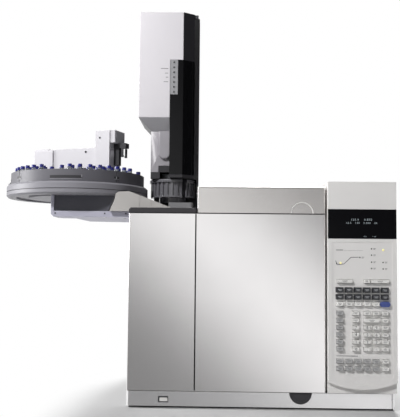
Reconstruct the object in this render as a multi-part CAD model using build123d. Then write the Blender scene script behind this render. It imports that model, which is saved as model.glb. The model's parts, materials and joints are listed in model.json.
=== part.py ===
from build123d import *
import math
import os

# Bench gas chromatograph with a top mounted injector tower and a vial tray.
# Millimetres. While it is drawn, x = 0 is the cabinet's left side, y = 0 the plane of the oven
# door, y grows to the rear and z = 0 is the underside of the cabinet. The finished pieces are
# moved so that the origin is the centre of the whole instrument's footprint on the bench.

# ---------------------------------------------------------------- fits and clearances
SEAT = 0.3              # gap between two pieces that are screwed or set together
RUN = 0.05              # radial clearance of a shaft in its bearing
MOVE = 0.6              # gap round a piece that slides or presses
OVER = 5                # how far a cutting tool runs past the piece it cuts

# ---------------------------------------------------------------- cabinet
CABINET_WIDTH = 585
CABINET_DEPTH = 540
CABINET_HEIGHT = 490
SHEET = 1.5             # sheet metal of the side and rear panels
BASE_HEIGHT = 31.5
BASE_WALL = 2
BASE_RIGHT_INSET = 3
BASE_CORNER = 8
FOOT_HEIGHT = 5
FOOT_RADIUS = 14
FOOT_INSET = 42
PANEL_FLANGE = 12

# ---------------------------------------------------------------- oven door
DOOR_LEFT = 1
DOOR_RIGHT = CABINET_WIDTH - 152.5      # the keypad module takes the rest of the front
DOOR_GAP = 1.3
DOOR_TOP = 418
DOOR_DEPTH = 36
DOOR_WALL = 5
DOOR_CORNER = 2.5
GROOVE_X = 148.5
GROOVE_WIDTH = 3.2
GROOVE_DEPTH = 4
DOOR_PAN = 4
DOOR_PAN_INSET = 22
DOOR_PAN_BOSS = 2
OVEN_FACE = 44          # y of the oven's front frame
HINGE_X = 8
HINGE_Y = 32
HINGE_PIN = 3
HINGE_KNUCKLE = 6
HINGE_HEIGHT = 22
HINGE_HEIGHTS = (80, 370)
HINGE_NOTCH_X = 20
HINGE_NOTCH_Y = 24
HINGE_ARM = 8
SIDE_FRONT = 42         # y where the side panel starts

# ---------------------------------------------------------------- door release and power switch
RELEASE_X = DOOR_RIGHT - 54
RELEASE_RADIUS = 24.5
RELEASE_DEPTH = 23
RELEASE_TRAVEL = 3
RELEASE_FACE = 2.5      # its face stands this far behind the apron
RELEASE_THICK = 12
RELEASE_STEM = 5
SWITCH_X = 81
SWITCH_Z = 14.8
SWITCH_WIDTH = 22
SWITCH_HEIGHT = 13
SWITCH_TRAVEL = 3
SWITCH_PROUD = 1.2
SWITCH_DEPTH = 16

# ---------------------------------------------------------------- oven
CAVITY_LEFT = 70
CAVITY_WIDTH = DOOR_RIGHT - 152.5
CAVITY_BOTTOM = 55
CAVITY_HEIGHT = 310
CAVITY_DEPTH = 160
FAN_SPACE = 44
LINER = 3
OVEN_FRAME = 2
INSULATION = 32
SHROUD = 2
SHROUD_SLOTS = 16
MOTOR_RADIUS = 38
MOTOR_LENGTH = 58
SHAFT_RADIUS = 4
FAN_RADIUS = CAVITY_WIDTH / 2 - 56
FAN_BLADES = 10
FAN_DEPTH = 20
BLADE = 2
HEATER_RADIUS = CAVITY_WIDTH / 2 - 32
HEATER_WIRE = 3
VENT_SIZE = 56
VENT_X = CAVITY_LEFT + CAVITY_WIDTH - 38
VENT_Z = 305
DUCT_WALL = 1.5
FLAP = 2
COIL_RADIUS = FAN_RADIUS - 2
COIL_WIDTH = 34
COIL_THICK = 7
CAGE_WIRE = 1.6
COIL_Y = 132
COLUMN_TUBE = 0.9

# ---------------------------------------------------------------- top of the cabinet
DECK_GAP = 1.5
DECK_PLATE = 4.5
DECK_RAISED = 11.5      # full thickness of the deck under the injector
DECK_SPLIT = 148.5
COVER_LEFT = 152
COVER_TOP = 480
COVER_DEPTH = 330
COVER_WALL = 3
COVER_EDGE = 5
NOTCH_X = DOOR_RIGHT - 50.5
NOTCH_RADIUS = 24
NOTCH_DEPTH = 2
LID_AXIS_INSET = 6      # hinge axis in from the cover's rear edge
LID_AXIS_DROP = 9       # and below its top
LID_PIN = 2.5
LID_LUG = 4.5
LID_LUG_WIDTH = 7
LID_LUG_INSET = 14
TOP_WALL = 2.5
TOP_GAP = 5.3
TOP_SLOTS = 9
TOP_SLOT_PITCH = 14
INLET_X = 107
INLET_Y = 167
INLET_RADIUS = 12
INLET_TOP = 446
SEPTUM_NUT = 9
DETECTOR_X = 262
DETECTOR_Y = 150
DETECTOR_RADIUS = 16

# ---------------------------------------------------------------- keypad module
KEYPAD_LEFT = DOOR_RIGHT + 4.2
KEYPAD_REAR = 30
KEYPAD_BOTTOM = 33
KEYPAD_PROUD = 12       # the front plate stands this far out from the door's plane
KEYPAD_STEP = 8         # thickness of that plate over the plain lower front
KEYPAD_WALL = 3
KEYPAD_FRONT = 10
KEYPAD_CORNER = 2
PLATE_SIDE_Z = 57.5     # lower edge of the front plate at its sides
PLATE_SAG = 15.5        # and how much lower it is in the middle
FIELD_INSET = 9
FIELD_DEPTH = 0.8
FIELD_TOP = 358
DISPLAY_BOTTOM = 365.4
DISPLAY_TOP = 430
DISPLAY_DEPTH = 5
KEY_RISE = 5
KEY_POCKET = 7
KEY_TRAVEL = 1.5
KEY_TAPER = 1.1
KEY_FIRST_X = KEYPAD_LEFT + 24.8
KEY_PITCH = 19.4
KEY_WIDTH = 15
KEY_HEIGHT = 9.6
DARK_KEY_WIDTH = 17
DARK_KEY_HEIGHT = 11
DARK_ROW_Z = 254.9
DARK_ROW_PITCH = 15.1
LIGHT_ROW_Z = 224.6
BLUE_KEY_WIDTH = 22
BLUE_KEY_HEIGHT = 11.5
BLOCK_ROW_Z = 205
BLOCK_PITCH = 15.3
BLOCK_ROWS = 6
BLOCK_FIRST_X = KEY_FIRST_X + 34
LOWER_ROW_Z = 102.6
LOWER_ROW_PITCH = 15.8
START_ROW_Z = 273.6
START_KEY_HEIGHT = 8.6
START_KEY_WIDTH = 34
STOP_KEY_WIDTH = 13
PREP_KEY_WIDTH = 40.4
START_KEY_X = KEYPAD_LEFT + 35.3
STOP_KEY_X = KEYPAD_LEFT + 82.8
PREP_KEY_X = STOP_KEY_X + (STOP_KEY_WIDTH + PREP_KEY_WIDTH) / 2 + 1.6

# ---------------------------------------------------------------- rear and inner pieces
REAR_STUB = 18
STUB_RADIUS = 1.6
STUB_NUT = 6
STUB_PITCH = 34
STUB_COUNT = 4
MAINS_X = CABINET_WIDTH - 80
MAINS_Z = 74
MAINS_WIDTH = 48
MAINS_HEIGHT = 28
MAINS_DEPTH = 26
LOUVRES = 9
LOUVRE_PITCH = 14
LOUVRE_LENGTH = 110
LOUVRE_HEIGHT = 4

# ---------------------------------------------------------------- injector tower
TOWER_FRONT = 130
TOWER_REAR = 285
TOWER_LEFT = 5
TOWER_TOP = 914
TOWER_FACE_RIGHT = 111
TOWER_CORNER = (137, 150)
TOWER_SIDE = (148.5, 187)
TOWER_SIDE_REAR = 146
TOWER_WALL = 3
HEAD_BOTTOM = 657       # where the wide head starts to slope in to the neck
NECK_TOP = 626
NECK_LEFT = 34
NECK_FRONT = 150
NECK_BOTTOM = 505
FACE_THICK = 6
STEP_X = 79.5           # right edge of the silver face below the step
STEP_Z = 797
STRIP_BOTTOM = 713
STRIP_RIGHT = 98
STRIP_THICK = 5
STRIP_LENSES = 7
BAY_BOTTOM = 519.5
BAY_REAR = 188
LEDGE = 7
NECK_PAD_LEFT = 52.5
NECK_PAD_RIGHT = 82
NECK_PAD_BOTTOM = 557.5
NECK_PAD_RISE = 8
NECK_PLATE = 6
NECK_RIGHT = 97
NECK_CURVE_Z = 575
NECK_FOOT_Z = 543
NECK_STRIP = 16         # how much lower the moulding reaches at its left edge
NECK_HEEL = 56          # right edge of the black heel under that strip
DOOR_AXIS = (132.5, 151.5)
DOOR_KNUCKLE = 3.5
DOOR_PIN = 2
DOOR_PIN_LENGTH = 5
DOOR_SWEEP = 6          # clear radius round the hinge for the leaf as it swings
SMOKED_WALL = 3

# ---------------------------------------------------------------- electronics bay
BOARD_POST = 8
BOARD_INSET = 80
BOARD_HEIGHTS = (90, 380)
# each block: from the board's front edge, from its foot, depth, height, rise
BOARD_BLOCKS = ((50, 60, 60, 40, 14), (160, 60, 90, 60, 22), (70, 170, 70, 70, 10), (220, 180, 110, 50, 18))
SUPPLY_LEFT = 50        # clear of the board's blocks
SUPPLY_GAP = 8
SUPPLY_REAR = 40
SUPPLY_DEPTH = 200
SUPPLY_TOP = 170
SUPPLY_SLOTS = 10

# ---------------------------------------------------------------- syringe drive
NEEDLE_RADIUS = 0.4
NEEDLE_TIP = 514
NEEDLE_LENGTH = 70
BARREL_RADIUS = 3.4
BARREL_LENGTH = 62
PLUNGER_RADIUS = 0.9
PLUNGER_LENGTH = 58
CARRIAGE_DROP = 76
PLUNGER_STROKE = 34
ROD_RADIUS = 3
ROD_SPREAD = 13
ROD_FORWARD = 13
CARRIAGE_WIDTH = 38
CARRIAGE_DEPTH = 24
CARRIAGE_HEIGHT = 46
PLUNGER_BLOCK = 16

# ---------------------------------------------------------------- turret
TURRET_X = 85.5
TURRET_Y = 200
TURRET_RADIUS = 54.5
TURRET_BOTTOM = 467
TURRET_HEIGHT = 36
TURRET_RIBS = 28
RIB_DEPTH = 3.5
TURRET_FLANGE_RADIUS = 57
TURRET_FLANGE = 7
TURRET_HUB_RADIUS = 28
TURRET_HUB_TOP = 526
TURRET_LOWER_HUB = 33.5
TURRET_AXLE = 4
HUB_CEILING = 530       # underside of the tower over the hub
HUB_PLATE = 8
TURRET_GAP_WIDTH = 12
TURRET_PLACES = 16
TURRET_WELL = 7
TURRET_DRAIN = 2.4      # hole through the floor of each place
PEDESTAL_WIDTH = 58
PEDESTAL_DEPTH = 54
PEDESTAL_HEIGHT = 22.5

# ---------------------------------------------------------------- vial tray
TRAY_X = -145
TRAY_Y = 176
TRAY_RADIUS = 169.5
TRAY_BOTTOM = 461
TRAY_RING = 12
TRAY_SEAM = 1.5
TRAY_DISC_TOP = 490
TRAY_LIP = 4
RACK_RADIUS = 160
RACK_INNER = 62
RACK_TOP = 518
RACK_FLOOR = 4
RACK_GAP = 2
RACKS = 4
RACK_TURN = -47.125       # angle of the seam between two racks
WELL_RADIUS = 6.6
WELL_SIDES = 8
WELL_DEPTH = 20
VIAL_RADIUS = 5.9
VIAL_HEIGHT = 25
CAP_HEIGHT = 7.5
ROWS = ((146, 10), (123, 8), (100, 7))  # radius and wells of each row of one rack
SKIPPED = ((0, 3), (0, 4), (1, 2), (1, 5), (2, 2), (2, 3))  # row, place of the wells left empty
PARKED = ((1, 0, 9),)   # rack, row, place of the well left empty where the gripper stops
PLATE_LEFT = -183
PLATE_FRONT = 47
PLATE_TOP = 425
PLATE_THICK = 13
PLATE_CLEAR = 0.4
HOUSING_LEFT = -176
HOUSING_RIGHT_TOP = -39
HOUSING_RIGHT_BOTTOM = -53
HOUSING_FRONT = 52
HOUSING_REAR = 300
ARM_FRONT = 26
ARM_WEB = 10
ARM_FOOT = 5

# ---------------------------------------------------------------- gantry over the tray
GANTRY_TURN = -19       # degrees from +x at rest
SPINDLE_RADIUS = 12
BAR_BOTTOM = 535
BAR_TOP = 583
BAR_BACK = -109
BAR_END = 96
BAR_WIDTH = 48
BAR_WALL = 5
SADDLE_IN = 60
SADDLE_OUT = 98
SADDLE_WALL = 5
SADDLE_TOP = 623
HEAD_OUT = 137
HEAD_LOW = 594
RAIL_WIDTH = 12
RAIL_LOW = 541
GRIP_RADIUS = 123
GRIP_LOW = 560
GRIP_DROP = 36
GRIP_REACH = 23         # how far the gripper runs out and in from its middle row of vials
GRIP_CLOSE = 1.4
GANTRY_RANGE = 147.375  # degrees each way
FINGER_WIDTH = 5
FINGER_THICK = 3
FINGER_GAP = 8.6        # half the opening between the fingers

# ---------------------------------------------------------------- places worked out from these
DOOR_BOTTOM = BASE_HEIGHT + DOOR_GAP
DECK_BOTTOM = DOOR_TOP + DECK_GAP
DECK_TOP = DECK_BOTTOM + DECK_RAISED
PLATE_DECK = DECK_BOTTOM + DECK_PLATE
CAVITY_RIGHT = CAVITY_LEFT + CAVITY_WIDTH
CAVITY_TOP = CAVITY_BOTTOM + CAVITY_HEIGHT
CAVITY_BACK = OVEN_FACE + CAVITY_DEPTH
OVEN_BACK = CAVITY_BACK + FAN_SPACE
FAN_X = CAVITY_LEFT + CAVITY_WIDTH / 2
FAN_Z = CAVITY_BOTTOM + CAVITY_HEIGHT / 2
INSULATION_BACK = OVEN_BACK + LINER + INSULATION
COVER_RIGHT = DOOR_RIGHT
TOP_FRONT = COVER_DEPTH + TOP_GAP
LID_AXIS_Y = COVER_DEPTH - LID_AXIS_INSET
LID_AXIS_Z = COVER_TOP - LID_AXIS_DROP
PARTITION_X = DOOR_RIGHT + SHEET
CABINET_REAR = CABINET_DEPTH
PANEL_TOP = DECK_BOTTOM - SEAT
PANEL_BOTTOM = BASE_HEIGHT + SEAT
DISPLAY_PROUD = KEYPAD_PROUD + 0.6
WHOLE_LEFT = TRAY_X - TRAY_RADIUS
WHOLE_FRONT = -(KEYPAD_PROUD + KEY_RISE)
WHOLE_REAR = CABINET_DEPTH + REAR_STUB
CENTRE_X = (WHOLE_LEFT + CABINET_WIDTH) / 2
CENTRE_Y = (WHOLE_FRONT + WHOLE_REAR) / 2
FOOTPRINT = Pos(-CENTRE_X, -CENTRE_Y, FOOT_HEIGHT)


# ================================================================ shapes used everywhere
def block(x, y, z):
    """A box between the low and high values given for each axis."""
    size = Box(x[1] - x[0], y[1] - y[0], z[1] - z[0])
    return Pos((x[0] + x[1]) / 2, (y[0] + y[1]) / 2, (z[0] + z[1]) / 2) * size


def rod_z(x, y, z, radius):
    return Pos(x, y, (z[0] + z[1]) / 2) * Cylinder(radius, z[1] - z[0])


def rod_y(x, y, z, radius):
    return Pos(x, (y[0] + y[1]) / 2, z) * Rot(90, 0, 0) * Cylinder(radius, y[1] - y[0])


def rod_x(x, y, z, radius):
    return Pos((x[0] + x[1]) / 2, y, z) * Rot(0, 90, 0) * Cylinder(radius, x[1] - x[0])


def plan(points, z):
    """An outline seen from above, given height."""
    return extrude(Pos(0, 0, z[0]) * Polygon(*points, align=None), z[1] - z[0])


def front_view(points, y):
    """An outline seen from the front, given depth."""
    seen = Plane(origin=(0, y[1], 0), x_dir=(1, 0, 0), z_dir=(0, -1, 0))
    return extrude(seen * Polygon(*points, align=None), y[1] - y[0])


def side_view(points, x):
    """An outline in y and z, given width."""
    seen = Plane(origin=(x[0], 0, 0), x_dir=(0, 1, 0), z_dir=(1, 0, 0))
    return extrude(seen * Polygon(*points, align=None), x[1] - x[0])


def polar(radius, degrees):
    turn = math.radians(degrees)
    return radius * math.cos(turn), radius * math.sin(turn)


def upright_edges(shape, place):
    """The vertical edges of a shape nearest the front (place 0) or the rear (place -1)."""
    return shape.edges().filter_by(Axis.Z).group_by(Axis.Y)[place]


# ================================================================ cabinet
def make_chassis():
    right = CABINET_WIDTH - BASE_RIGHT_INSET
    tub = block((0, right), (1, CABINET_REAR - SHEET - SEAT), (0, BASE_HEIGHT))
    tub = fillet(upright_edges(tub, 0), BASE_CORNER)
    inner = block((BASE_WALL, right - BASE_WALL),
                  (1 + BASE_WALL, CABINET_REAR - SHEET - SEAT - BASE_WALL),
                  (BASE_WALL, BASE_HEIGHT + OVER))
    inner = fillet(upright_edges(inner, 0), BASE_CORNER - BASE_WALL)
    base = tub - inner
    boss = RELEASE_RADIUS + 5
    base += block((RELEASE_X - boss, RELEASE_X + boss), (1, RELEASE_DEPTH + 8), (1, BASE_HEIGHT))
    recess = rod_y(RELEASE_X, (-OVER, RELEASE_DEPTH), BASE_HEIGHT, RELEASE_RADIUS)
    stem = rod_y(RELEASE_X, (0, RELEASE_DEPTH + 9), BASE_HEIGHT - 10, RELEASE_STEM + RUN)
    base -= recess
    base -= stem
    half_w = SWITCH_WIDTH / 2
    half_h = SWITCH_HEIGHT / 2
    base += block((SWITCH_X - half_w - 4, SWITCH_X + half_w + 4), (1.5, SWITCH_DEPTH + 3),
                  (1, SWITCH_Z + half_h + 4))
    base -= block((SWITCH_X - half_w, SWITCH_X + half_w), (-OVER, SWITCH_DEPTH),
                  (SWITCH_Z - half_h, SWITCH_Z + half_h))
    wall = block((PARTITION_X, PARTITION_X + SHEET), (OVEN_FACE, CABINET_REAR - SHEET - SEAT),
                 (BASE_WALL, PANEL_TOP))
    foot = block((PARTITION_X, PARTITION_X + PANEL_FLANGE),
                 (OVEN_FACE, CABINET_REAR - SHEET - SEAT - BASE_WALL), (BASE_WALL, BASE_WALL + SHEET))
    return base + wall + foot


def make_feet():
    feet = []
    for x in (FOOT_INSET, CABINET_WIDTH - FOOT_INSET):
        for y in (FOOT_INSET, CABINET_DEPTH - FOOT_INSET):
            feet.append(Pos(x, y, -FOOT_HEIGHT / 2) * Cone(FOOT_RADIUS - 2, FOOT_RADIUS, FOOT_HEIGHT))
    return feet


def louvres(x, y, z_low, along_y):
    """A field of slots through a panel that stands across x (along_y) or across y."""
    field = []
    for row in range(LOUVRES):
        z = z_low + row * LOUVRE_PITCH
        if along_y:
            field.append(block((x - OVER, x + OVER), (y, y + LOUVRE_LENGTH), (z, z + LOUVRE_HEIGHT)))
        else:
            field.append(block((x, x + LOUVRE_LENGTH), (y - OVER, y + OVER), (z, z + LOUVRE_HEIGHT)))
    return field


def make_side_panel(outer, inward, front):
    """Sheet side with a folded top and front flange; inward is +1 on the left, -1 on the right."""
    inner = outer + inward * SHEET
    lip = outer + inward * PANEL_FLANGE
    rear = CABINET_REAR - SHEET - SEAT
    sheet_x = (min(outer, inner), max(outer, inner))
    lip_x = (min(outer, lip), max(outer, lip))
    panel = block(sheet_x, (front, rear), (PANEL_BOTTOM, PANEL_TOP))
    panel += block(lip_x, (front, rear), (PANEL_TOP - SHEET, PANEL_TOP))
    low = PANEL_BOTTOM + 30
    panel -= louvres(outer, rear - LOUVRE_LENGTH - 40, low, True)
    panel -= louvres(outer, front + 60, low, True)
    return panel


def vent_hole(y):
    half = VENT_SIZE / 2
    return block((VENT_X - half, VENT_X + half), y, (VENT_Z - half, VENT_Z + half))


def make_rear_panel():
    front = CABINET_REAR - SHEET
    panel = block((SHEET, CABINET_WIDTH - SHEET), (front, CABINET_REAR), (PANEL_BOTTOM, PANEL_TOP))
    half = VENT_SIZE / 2 + DUCT_WALL + MOVE
    panel -= block((VENT_X - half, VENT_X + half), (front - OVER, CABINET_REAR + OVER),
                   (VENT_Z - half, VENT_Z + half))
    panel -= block((MAINS_X - MAINS_WIDTH / 2, MAINS_X + MAINS_WIDTH / 2),
                   (front - OVER, CABINET_REAR + OVER),
                   (MAINS_Z - MAINS_HEIGHT / 2, MAINS_Z + MAINS_HEIGHT / 2))
    panel -= louvres(FAN_X - LOUVRE_LENGTH, CABINET_REAR, PANEL_BOTTOM + 30, False)
    panel -= louvres(KEYPAD_LEFT + 10, CABINET_REAR, MAINS_Z + 90, False)
    return panel


def make_deck():
    rear = CABINET_REAR - SEAT
    plate = block((0, COVER_RIGHT), (COVER_WALL + 2 * SEAT + 1, rear), (DECK_BOTTOM, PLATE_DECK))
    raised = block((0, DECK_SPLIT), (0, rear), (DECK_BOTTOM, DECK_TOP))
    raised = chamfer(raised.edges().filter_by(Axis.Y).group_by(Axis.Z)[-1].sort_by(Axis.X)[0], 4)
    deck = plate + raised
    deck -= rod_z(INLET_X, INLET_Y, (DECK_BOTTOM - OVER, DECK_TOP + OVER), INLET_RADIUS + SEAT)
    deck -= rod_z(DETECTOR_X, DETECTOR_Y, (DECK_BOTTOM - OVER, DECK_TOP + OVER),
                  DETECTOR_RADIUS + SEAT)
    return deck


def lug_spans():
    """Left and right ends of the two lugs that carry the detector cover."""
    left = COVER_LEFT + LID_LUG_INSET
    right = COVER_RIGHT - LID_LUG_INSET
    return (left, left + LID_LUG_WIDTH), (right - LID_LUG_WIDTH, right)


def make_detector_cover():
    low = PLATE_DECK + SEAT
    outer = block((COVER_LEFT, COVER_RIGHT), (1, COVER_DEPTH), (DECK_BOTTOM + 1, COVER_TOP))
    outer = fillet(outer.edges().filter_by(Axis.X).group_by(Axis.Z)[-1].sort_by(Axis.Y)[0], COVER_EDGE)
    outer = fillet(upright_edges(outer, 0), 2)
    inner = block((COVER_LEFT + COVER_WALL, COVER_RIGHT - COVER_WALL),
                  (1 + COVER_WALL, COVER_DEPTH + OVER), (DECK_BOTTOM - OVER, COVER_TOP - COVER_WALL))
    cover = outer - inner
    cover -= block((COVER_LEFT - OVER, COVER_RIGHT + OVER), (1 + COVER_WALL, COVER_DEPTH + OVER),
                   (DECK_BOTTOM - OVER, low))
    cover -= rod_y(NOTCH_X, (-OVER, 1 + NOTCH_DEPTH), DECK_BOTTOM + 1, NOTCH_RADIUS)
    for span in lug_spans():
        cover -= block((span[0] - 1, span[1] + 1), (LID_AXIS_Y - 9, COVER_DEPTH + OVER),
                       (LID_AXIS_Z - OVER, COVER_TOP + OVER))
        for ear in ((span[0] - 5, span[0] - 1), (span[1] + 1, span[1] + 5)):
            cover += rod_x(ear, LID_AXIS_Y, LID_AXIS_Z, LID_LUG)
            cover += block(ear, (LID_AXIS_Y - LID_LUG, LID_AXIS_Y + LID_LUG), (LID_AXIS_Z, COVER_TOP - 1))
        cover += rod_x((span[0] - 5, span[1] + 5), LID_AXIS_Y, LID_AXIS_Z, LID_PIN)
    return cover


def make_top_cover():
    low = DECK_BOTTOM
    right = block((KEYPAD_LEFT, CABINET_WIDTH), (KEYPAD_REAR + SEAT, CABINET_REAR), (low, CABINET_HEIGHT))
    rear = block((COVER_LEFT, KEYPAD_LEFT), (TOP_FRONT, CABINET_REAR), (PLATE_DECK + SEAT, COVER_TOP))
    cover = right + rear
    cover -= block((KEYPAD_LEFT + TOP_WALL, CABINET_WIDTH - TOP_WALL),
                   (KEYPAD_REAR + SEAT + TOP_WALL, CABINET_REAR - TOP_WALL),
                   (low - OVER, CABINET_HEIGHT - TOP_WALL))
    cover -= block((COVER_LEFT + TOP_WALL, KEYPAD_LEFT + TOP_WALL + OVER),
                   (TOP_FRONT + TOP_WALL, CABINET_REAR - TOP_WALL),
                   (low - OVER, COVER_TOP - TOP_WALL))
    for span in lug_spans():
        lug = rod_x(span, LID_AXIS_Y, LID_AXIS_Z, LID_LUG)
        lug += block(span, (LID_AXIS_Y, TOP_FRONT + TOP_WALL), (LID_AXIS_Z - LID_LUG, LID_AXIS_Z + LID_LUG))
        cover += lug
        cover -= rod_x((span[0] - OVER, span[1] + OVER), LID_AXIS_Y, LID_AXIS_Z, LID_PIN + RUN)
    for row in range(TOP_SLOTS):
        x = COVER_LEFT + 50 + row * TOP_SLOT_PITCH
        cover -= block((x, x + LOUVRE_HEIGHT), (TOP_FRONT + 60, TOP_FRONT + 60 + LOUVRE_LENGTH),
                       (COVER_TOP - OVER, COVER_TOP + OVER))
    for stub in range(STUB_COUNT):
        cover -= rod_y(stub_x(stub), (CABINET_REAR - OVER, CABINET_REAR + OVER), stub_z(),
                       STUB_RADIUS + 1.5)
    return cover


# ================================================================ oven and its door
def hinge_span(height):
    return height - HINGE_HEIGHT / 2, height + HINGE_HEIGHT / 2


def make_door_skin():
    x = (DOOR_LEFT, DOOR_RIGHT)
    z = (DOOR_BOTTOM, DOOR_TOP)
    skin = block(x, (0, DOOR_DEPTH), z)
    skin = fillet(upright_edges(skin, 0), DOOR_CORNER)
    inner_left = HINGE_NOTCH_X + DOOR_WALL
    skin -= block((inner_left, DOOR_RIGHT - DOOR_WALL), (DOOR_WALL, DOOR_DEPTH + OVER),
                  (DOOR_BOTTOM + DOOR_WALL, DOOR_TOP - DOOR_WALL))
    skin -= block((GROOVE_X - GROOVE_WIDTH / 2, GROOVE_X + GROOVE_WIDTH / 2), (-OVER, GROOVE_DEPTH),
                  (DOOR_BOTTOM - OVER, DOOR_TOP + OVER))
    for height in HINGE_HEIGHTS:
        low, high = hinge_span(height)
        skin -= block((DOOR_LEFT - OVER, HINGE_NOTCH_X), (HINGE_NOTCH_Y, DOOR_DEPTH + OVER),
                      (low - MOVE, high + MOVE))
        skin += rod_z(HINGE_X, HINGE_Y, (low - 14, high + 14), HINGE_PIN)
    return skin


def make_door_pan():
    left = DOOR_LEFT + DOOR_PAN_INSET
    right = DOOR_RIGHT - DOOR_WALL
    low = DOOR_BOTTOM + DOOR_WALL
    high = DOOR_TOP - DOOR_WALL
    pan = block((left, right), (DOOR_DEPTH, DOOR_DEPTH + DOOR_PAN), (low, high))
    boss = block((CAVITY_LEFT + 20, CAVITY_RIGHT - 20),
                 (DOOR_DEPTH + DOOR_PAN, DOOR_DEPTH + DOOR_PAN + DOOR_PAN_BOSS),
                 (CAVITY_BOTTOM + 20, CAVITY_TOP - 20))
    return pan + boss


def ring_block(x, y, z, width):
    """A rectangular frame in the plane across y, its inner edge given, its sides this wide."""
    outer = block((x[0] - width, x[1] + width), y, (z[0] - width, z[1] + width))
    return outer - block(x, (y[0] - OVER, y[1] + OVER), z)


def make_door_seal():
    back = DOOR_DEPTH + DOOR_PAN
    return ring_block((CAVITY_LEFT - 4, CAVITY_RIGHT + 4), (back, OVEN_FACE - SEAT),
                      (CAVITY_BOTTOM - 4, CAVITY_TOP + 4), 9)


def make_knuckle(span):
    """Hinge knuckle on the oven's front frame that one of the door's pins turns in."""
    knuckle = rod_z(HINGE_X, HINGE_Y, span, HINGE_KNUCKLE)
    knuckle += block((HINGE_X - HINGE_ARM / 2, HINGE_X + HINGE_ARM / 2), (HINGE_Y, OVEN_FACE + 1), span)
    return knuckle - rod_z(HINGE_X, HINGE_Y, (span[0] - OVER, span[1] + OVER), HINGE_PIN + RUN)


def make_oven_liner():
    x = (CAVITY_LEFT, CAVITY_RIGHT)
    z = (CAVITY_BOTTOM, CAVITY_TOP)
    liner = block((x[0] - LINER, x[1] + LINER), (OVEN_FACE, OVEN_BACK + LINER), (z[0] - LINER, z[1] + LINER))
    liner += block((SHEET + SEAT, DOOR_RIGHT), (OVEN_FACE, OVEN_FACE + OVEN_FRAME),
                   (PANEL_BOTTOM, PANEL_TOP - SHEET - SEAT))
    for height in HINGE_HEIGHTS:
        liner += make_knuckle(hinge_span(height))
    liner -= block(x, (OVEN_FACE - OVER, OVEN_BACK), z)
    liner -= rod_y(FAN_X, (OVEN_BACK - OVER, OVEN_BACK + OVER), FAN_Z, SHAFT_RADIUS + 1)
    liner -= vent_hole((OVEN_BACK - OVER, OVEN_BACK + LINER + OVER))
    for port_x, port_y in ((INLET_X, INLET_Y), (DETECTOR_X, DETECTOR_Y)):
        liner -= rod_z(port_x, port_y, (CAVITY_TOP - OVER, CAVITY_TOP + OVER), 4)
    return liner


def make_insulation():
    front = OVEN_FACE + OVEN_FRAME + SEAT
    clear = LINER + SEAT
    body = block((CAVITY_LEFT - clear - INSULATION, CAVITY_RIGHT + clear + INSULATION),
                 (front, INSULATION_BACK), (PANEL_BOTTOM + SEAT, CAVITY_TOP + clear + INSULATION))
    body -= block((CAVITY_LEFT - clear, CAVITY_RIGHT + clear), (front - OVER, OVEN_BACK + clear),
                  (CAVITY_BOTTOM - clear, CAVITY_TOP + clear))
    body -= rod_y(FAN_X, (OVEN_BACK, INSULATION_BACK + OVER), FAN_Z, SHAFT_RADIUS + 2)
    body -= vent_hole((OVEN_BACK, INSULATION_BACK + OVER))
    body -= rod_z(INLET_X, INLET_Y, (CAVITY_TOP, PANEL_TOP + OVER), INLET_RADIUS + SEAT)
    body -= rod_z(DETECTOR_X, DETECTOR_Y, (CAVITY_TOP, PANEL_TOP + OVER), DETECTOR_RADIUS + SEAT)
    return body


def make_shroud():
    """Baffle between the column and the fan: air in at the middle, out round the edge."""
    plate = block((CAVITY_LEFT + SEAT, CAVITY_RIGHT - SEAT), (CAVITY_BACK, CAVITY_BACK + SHROUD),
                  (CAVITY_BOTTOM + SEAT, CAVITY_TOP - SEAT))
    for slot in range(SHROUD_SLOTS):
        turn = Pos(FAN_X, 0, FAN_Z) * Rot(0, 360 * slot / SHROUD_SLOTS, 0)
        for inner, outer, half in ((18, 58, 2.2), (92, 122, 5)):
            plate -= turn * block((inner, outer), (CAVITY_BACK - OVER, CAVITY_BACK + OVER), (-half, half))
    return plate


def make_heater():
    """Flat resistance ring round the fan on four stand-offs from the oven's back."""
    y = (OVEN_BACK - 11, OVEN_BACK - 5)
    ring = rod_y(FAN_X, y, FAN_Z, HEATER_RADIUS + HEATER_WIRE)
    ring -= rod_y(FAN_X, (y[0] - OVER, y[1] + OVER), FAN_Z, HEATER_RADIUS - HEATER_WIRE)
    for step in range(4):
        dx, dz = polar(HEATER_RADIUS, 45 + 90 * step)
        x, z = FAN_X + dx, FAN_Z + dz
        ring += block((x - 2, x + 2), (y[0] + 1, OVEN_BACK), (z - 2, z + 2))
    return ring


def make_fan():
    start = CAVITY_BACK + SHROUD + 6
    hub = rod_y(FAN_X, (start, start + FAN_DEPTH), FAN_Z, 15)
    hub += rod_y(FAN_X, (start + FAN_DEPTH - BLADE, start + FAN_DEPTH), FAN_Z, FAN_RADIUS)
    hub += rod_y(FAN_X, (start, INSULATION_BACK + 20), FAN_Z, SHAFT_RADIUS)
    for blade in range(FAN_BLADES):
        turn = Pos(FAN_X, 0, FAN_Z) * Rot(0, 360 * blade / FAN_BLADES, 0)
        hub += turn * block((30, FAN_RADIUS), (start, start + FAN_DEPTH), (-BLADE / 2, BLADE / 2))
    return hub


def make_motor():
    body = rod_y(FAN_X, (INSULATION_BACK, INSULATION_BACK + MOTOR_LENGTH), FAN_Z, MOTOR_RADIUS)
    body += block((FAN_X - 48, FAN_X + 48), (INSULATION_BACK, INSULATION_BACK + 3), (FAN_Z - 30, FAN_Z + 30))
    body -= rod_y(FAN_X, (INSULATION_BACK - OVER, INSULATION_BACK + 24), FAN_Z, SHAFT_RADIUS + RUN)
    return body


def make_duct():
    """Square tube from the oven's back to the rear panel for the hot air."""
    half = VENT_SIZE / 2
    return ring_block((VENT_X - half, VENT_X + half), (INSULATION_BACK + SEAT, CABINET_REAR),
                      (VENT_Z - half, VENT_Z + half), DUCT_WALL)


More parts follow.
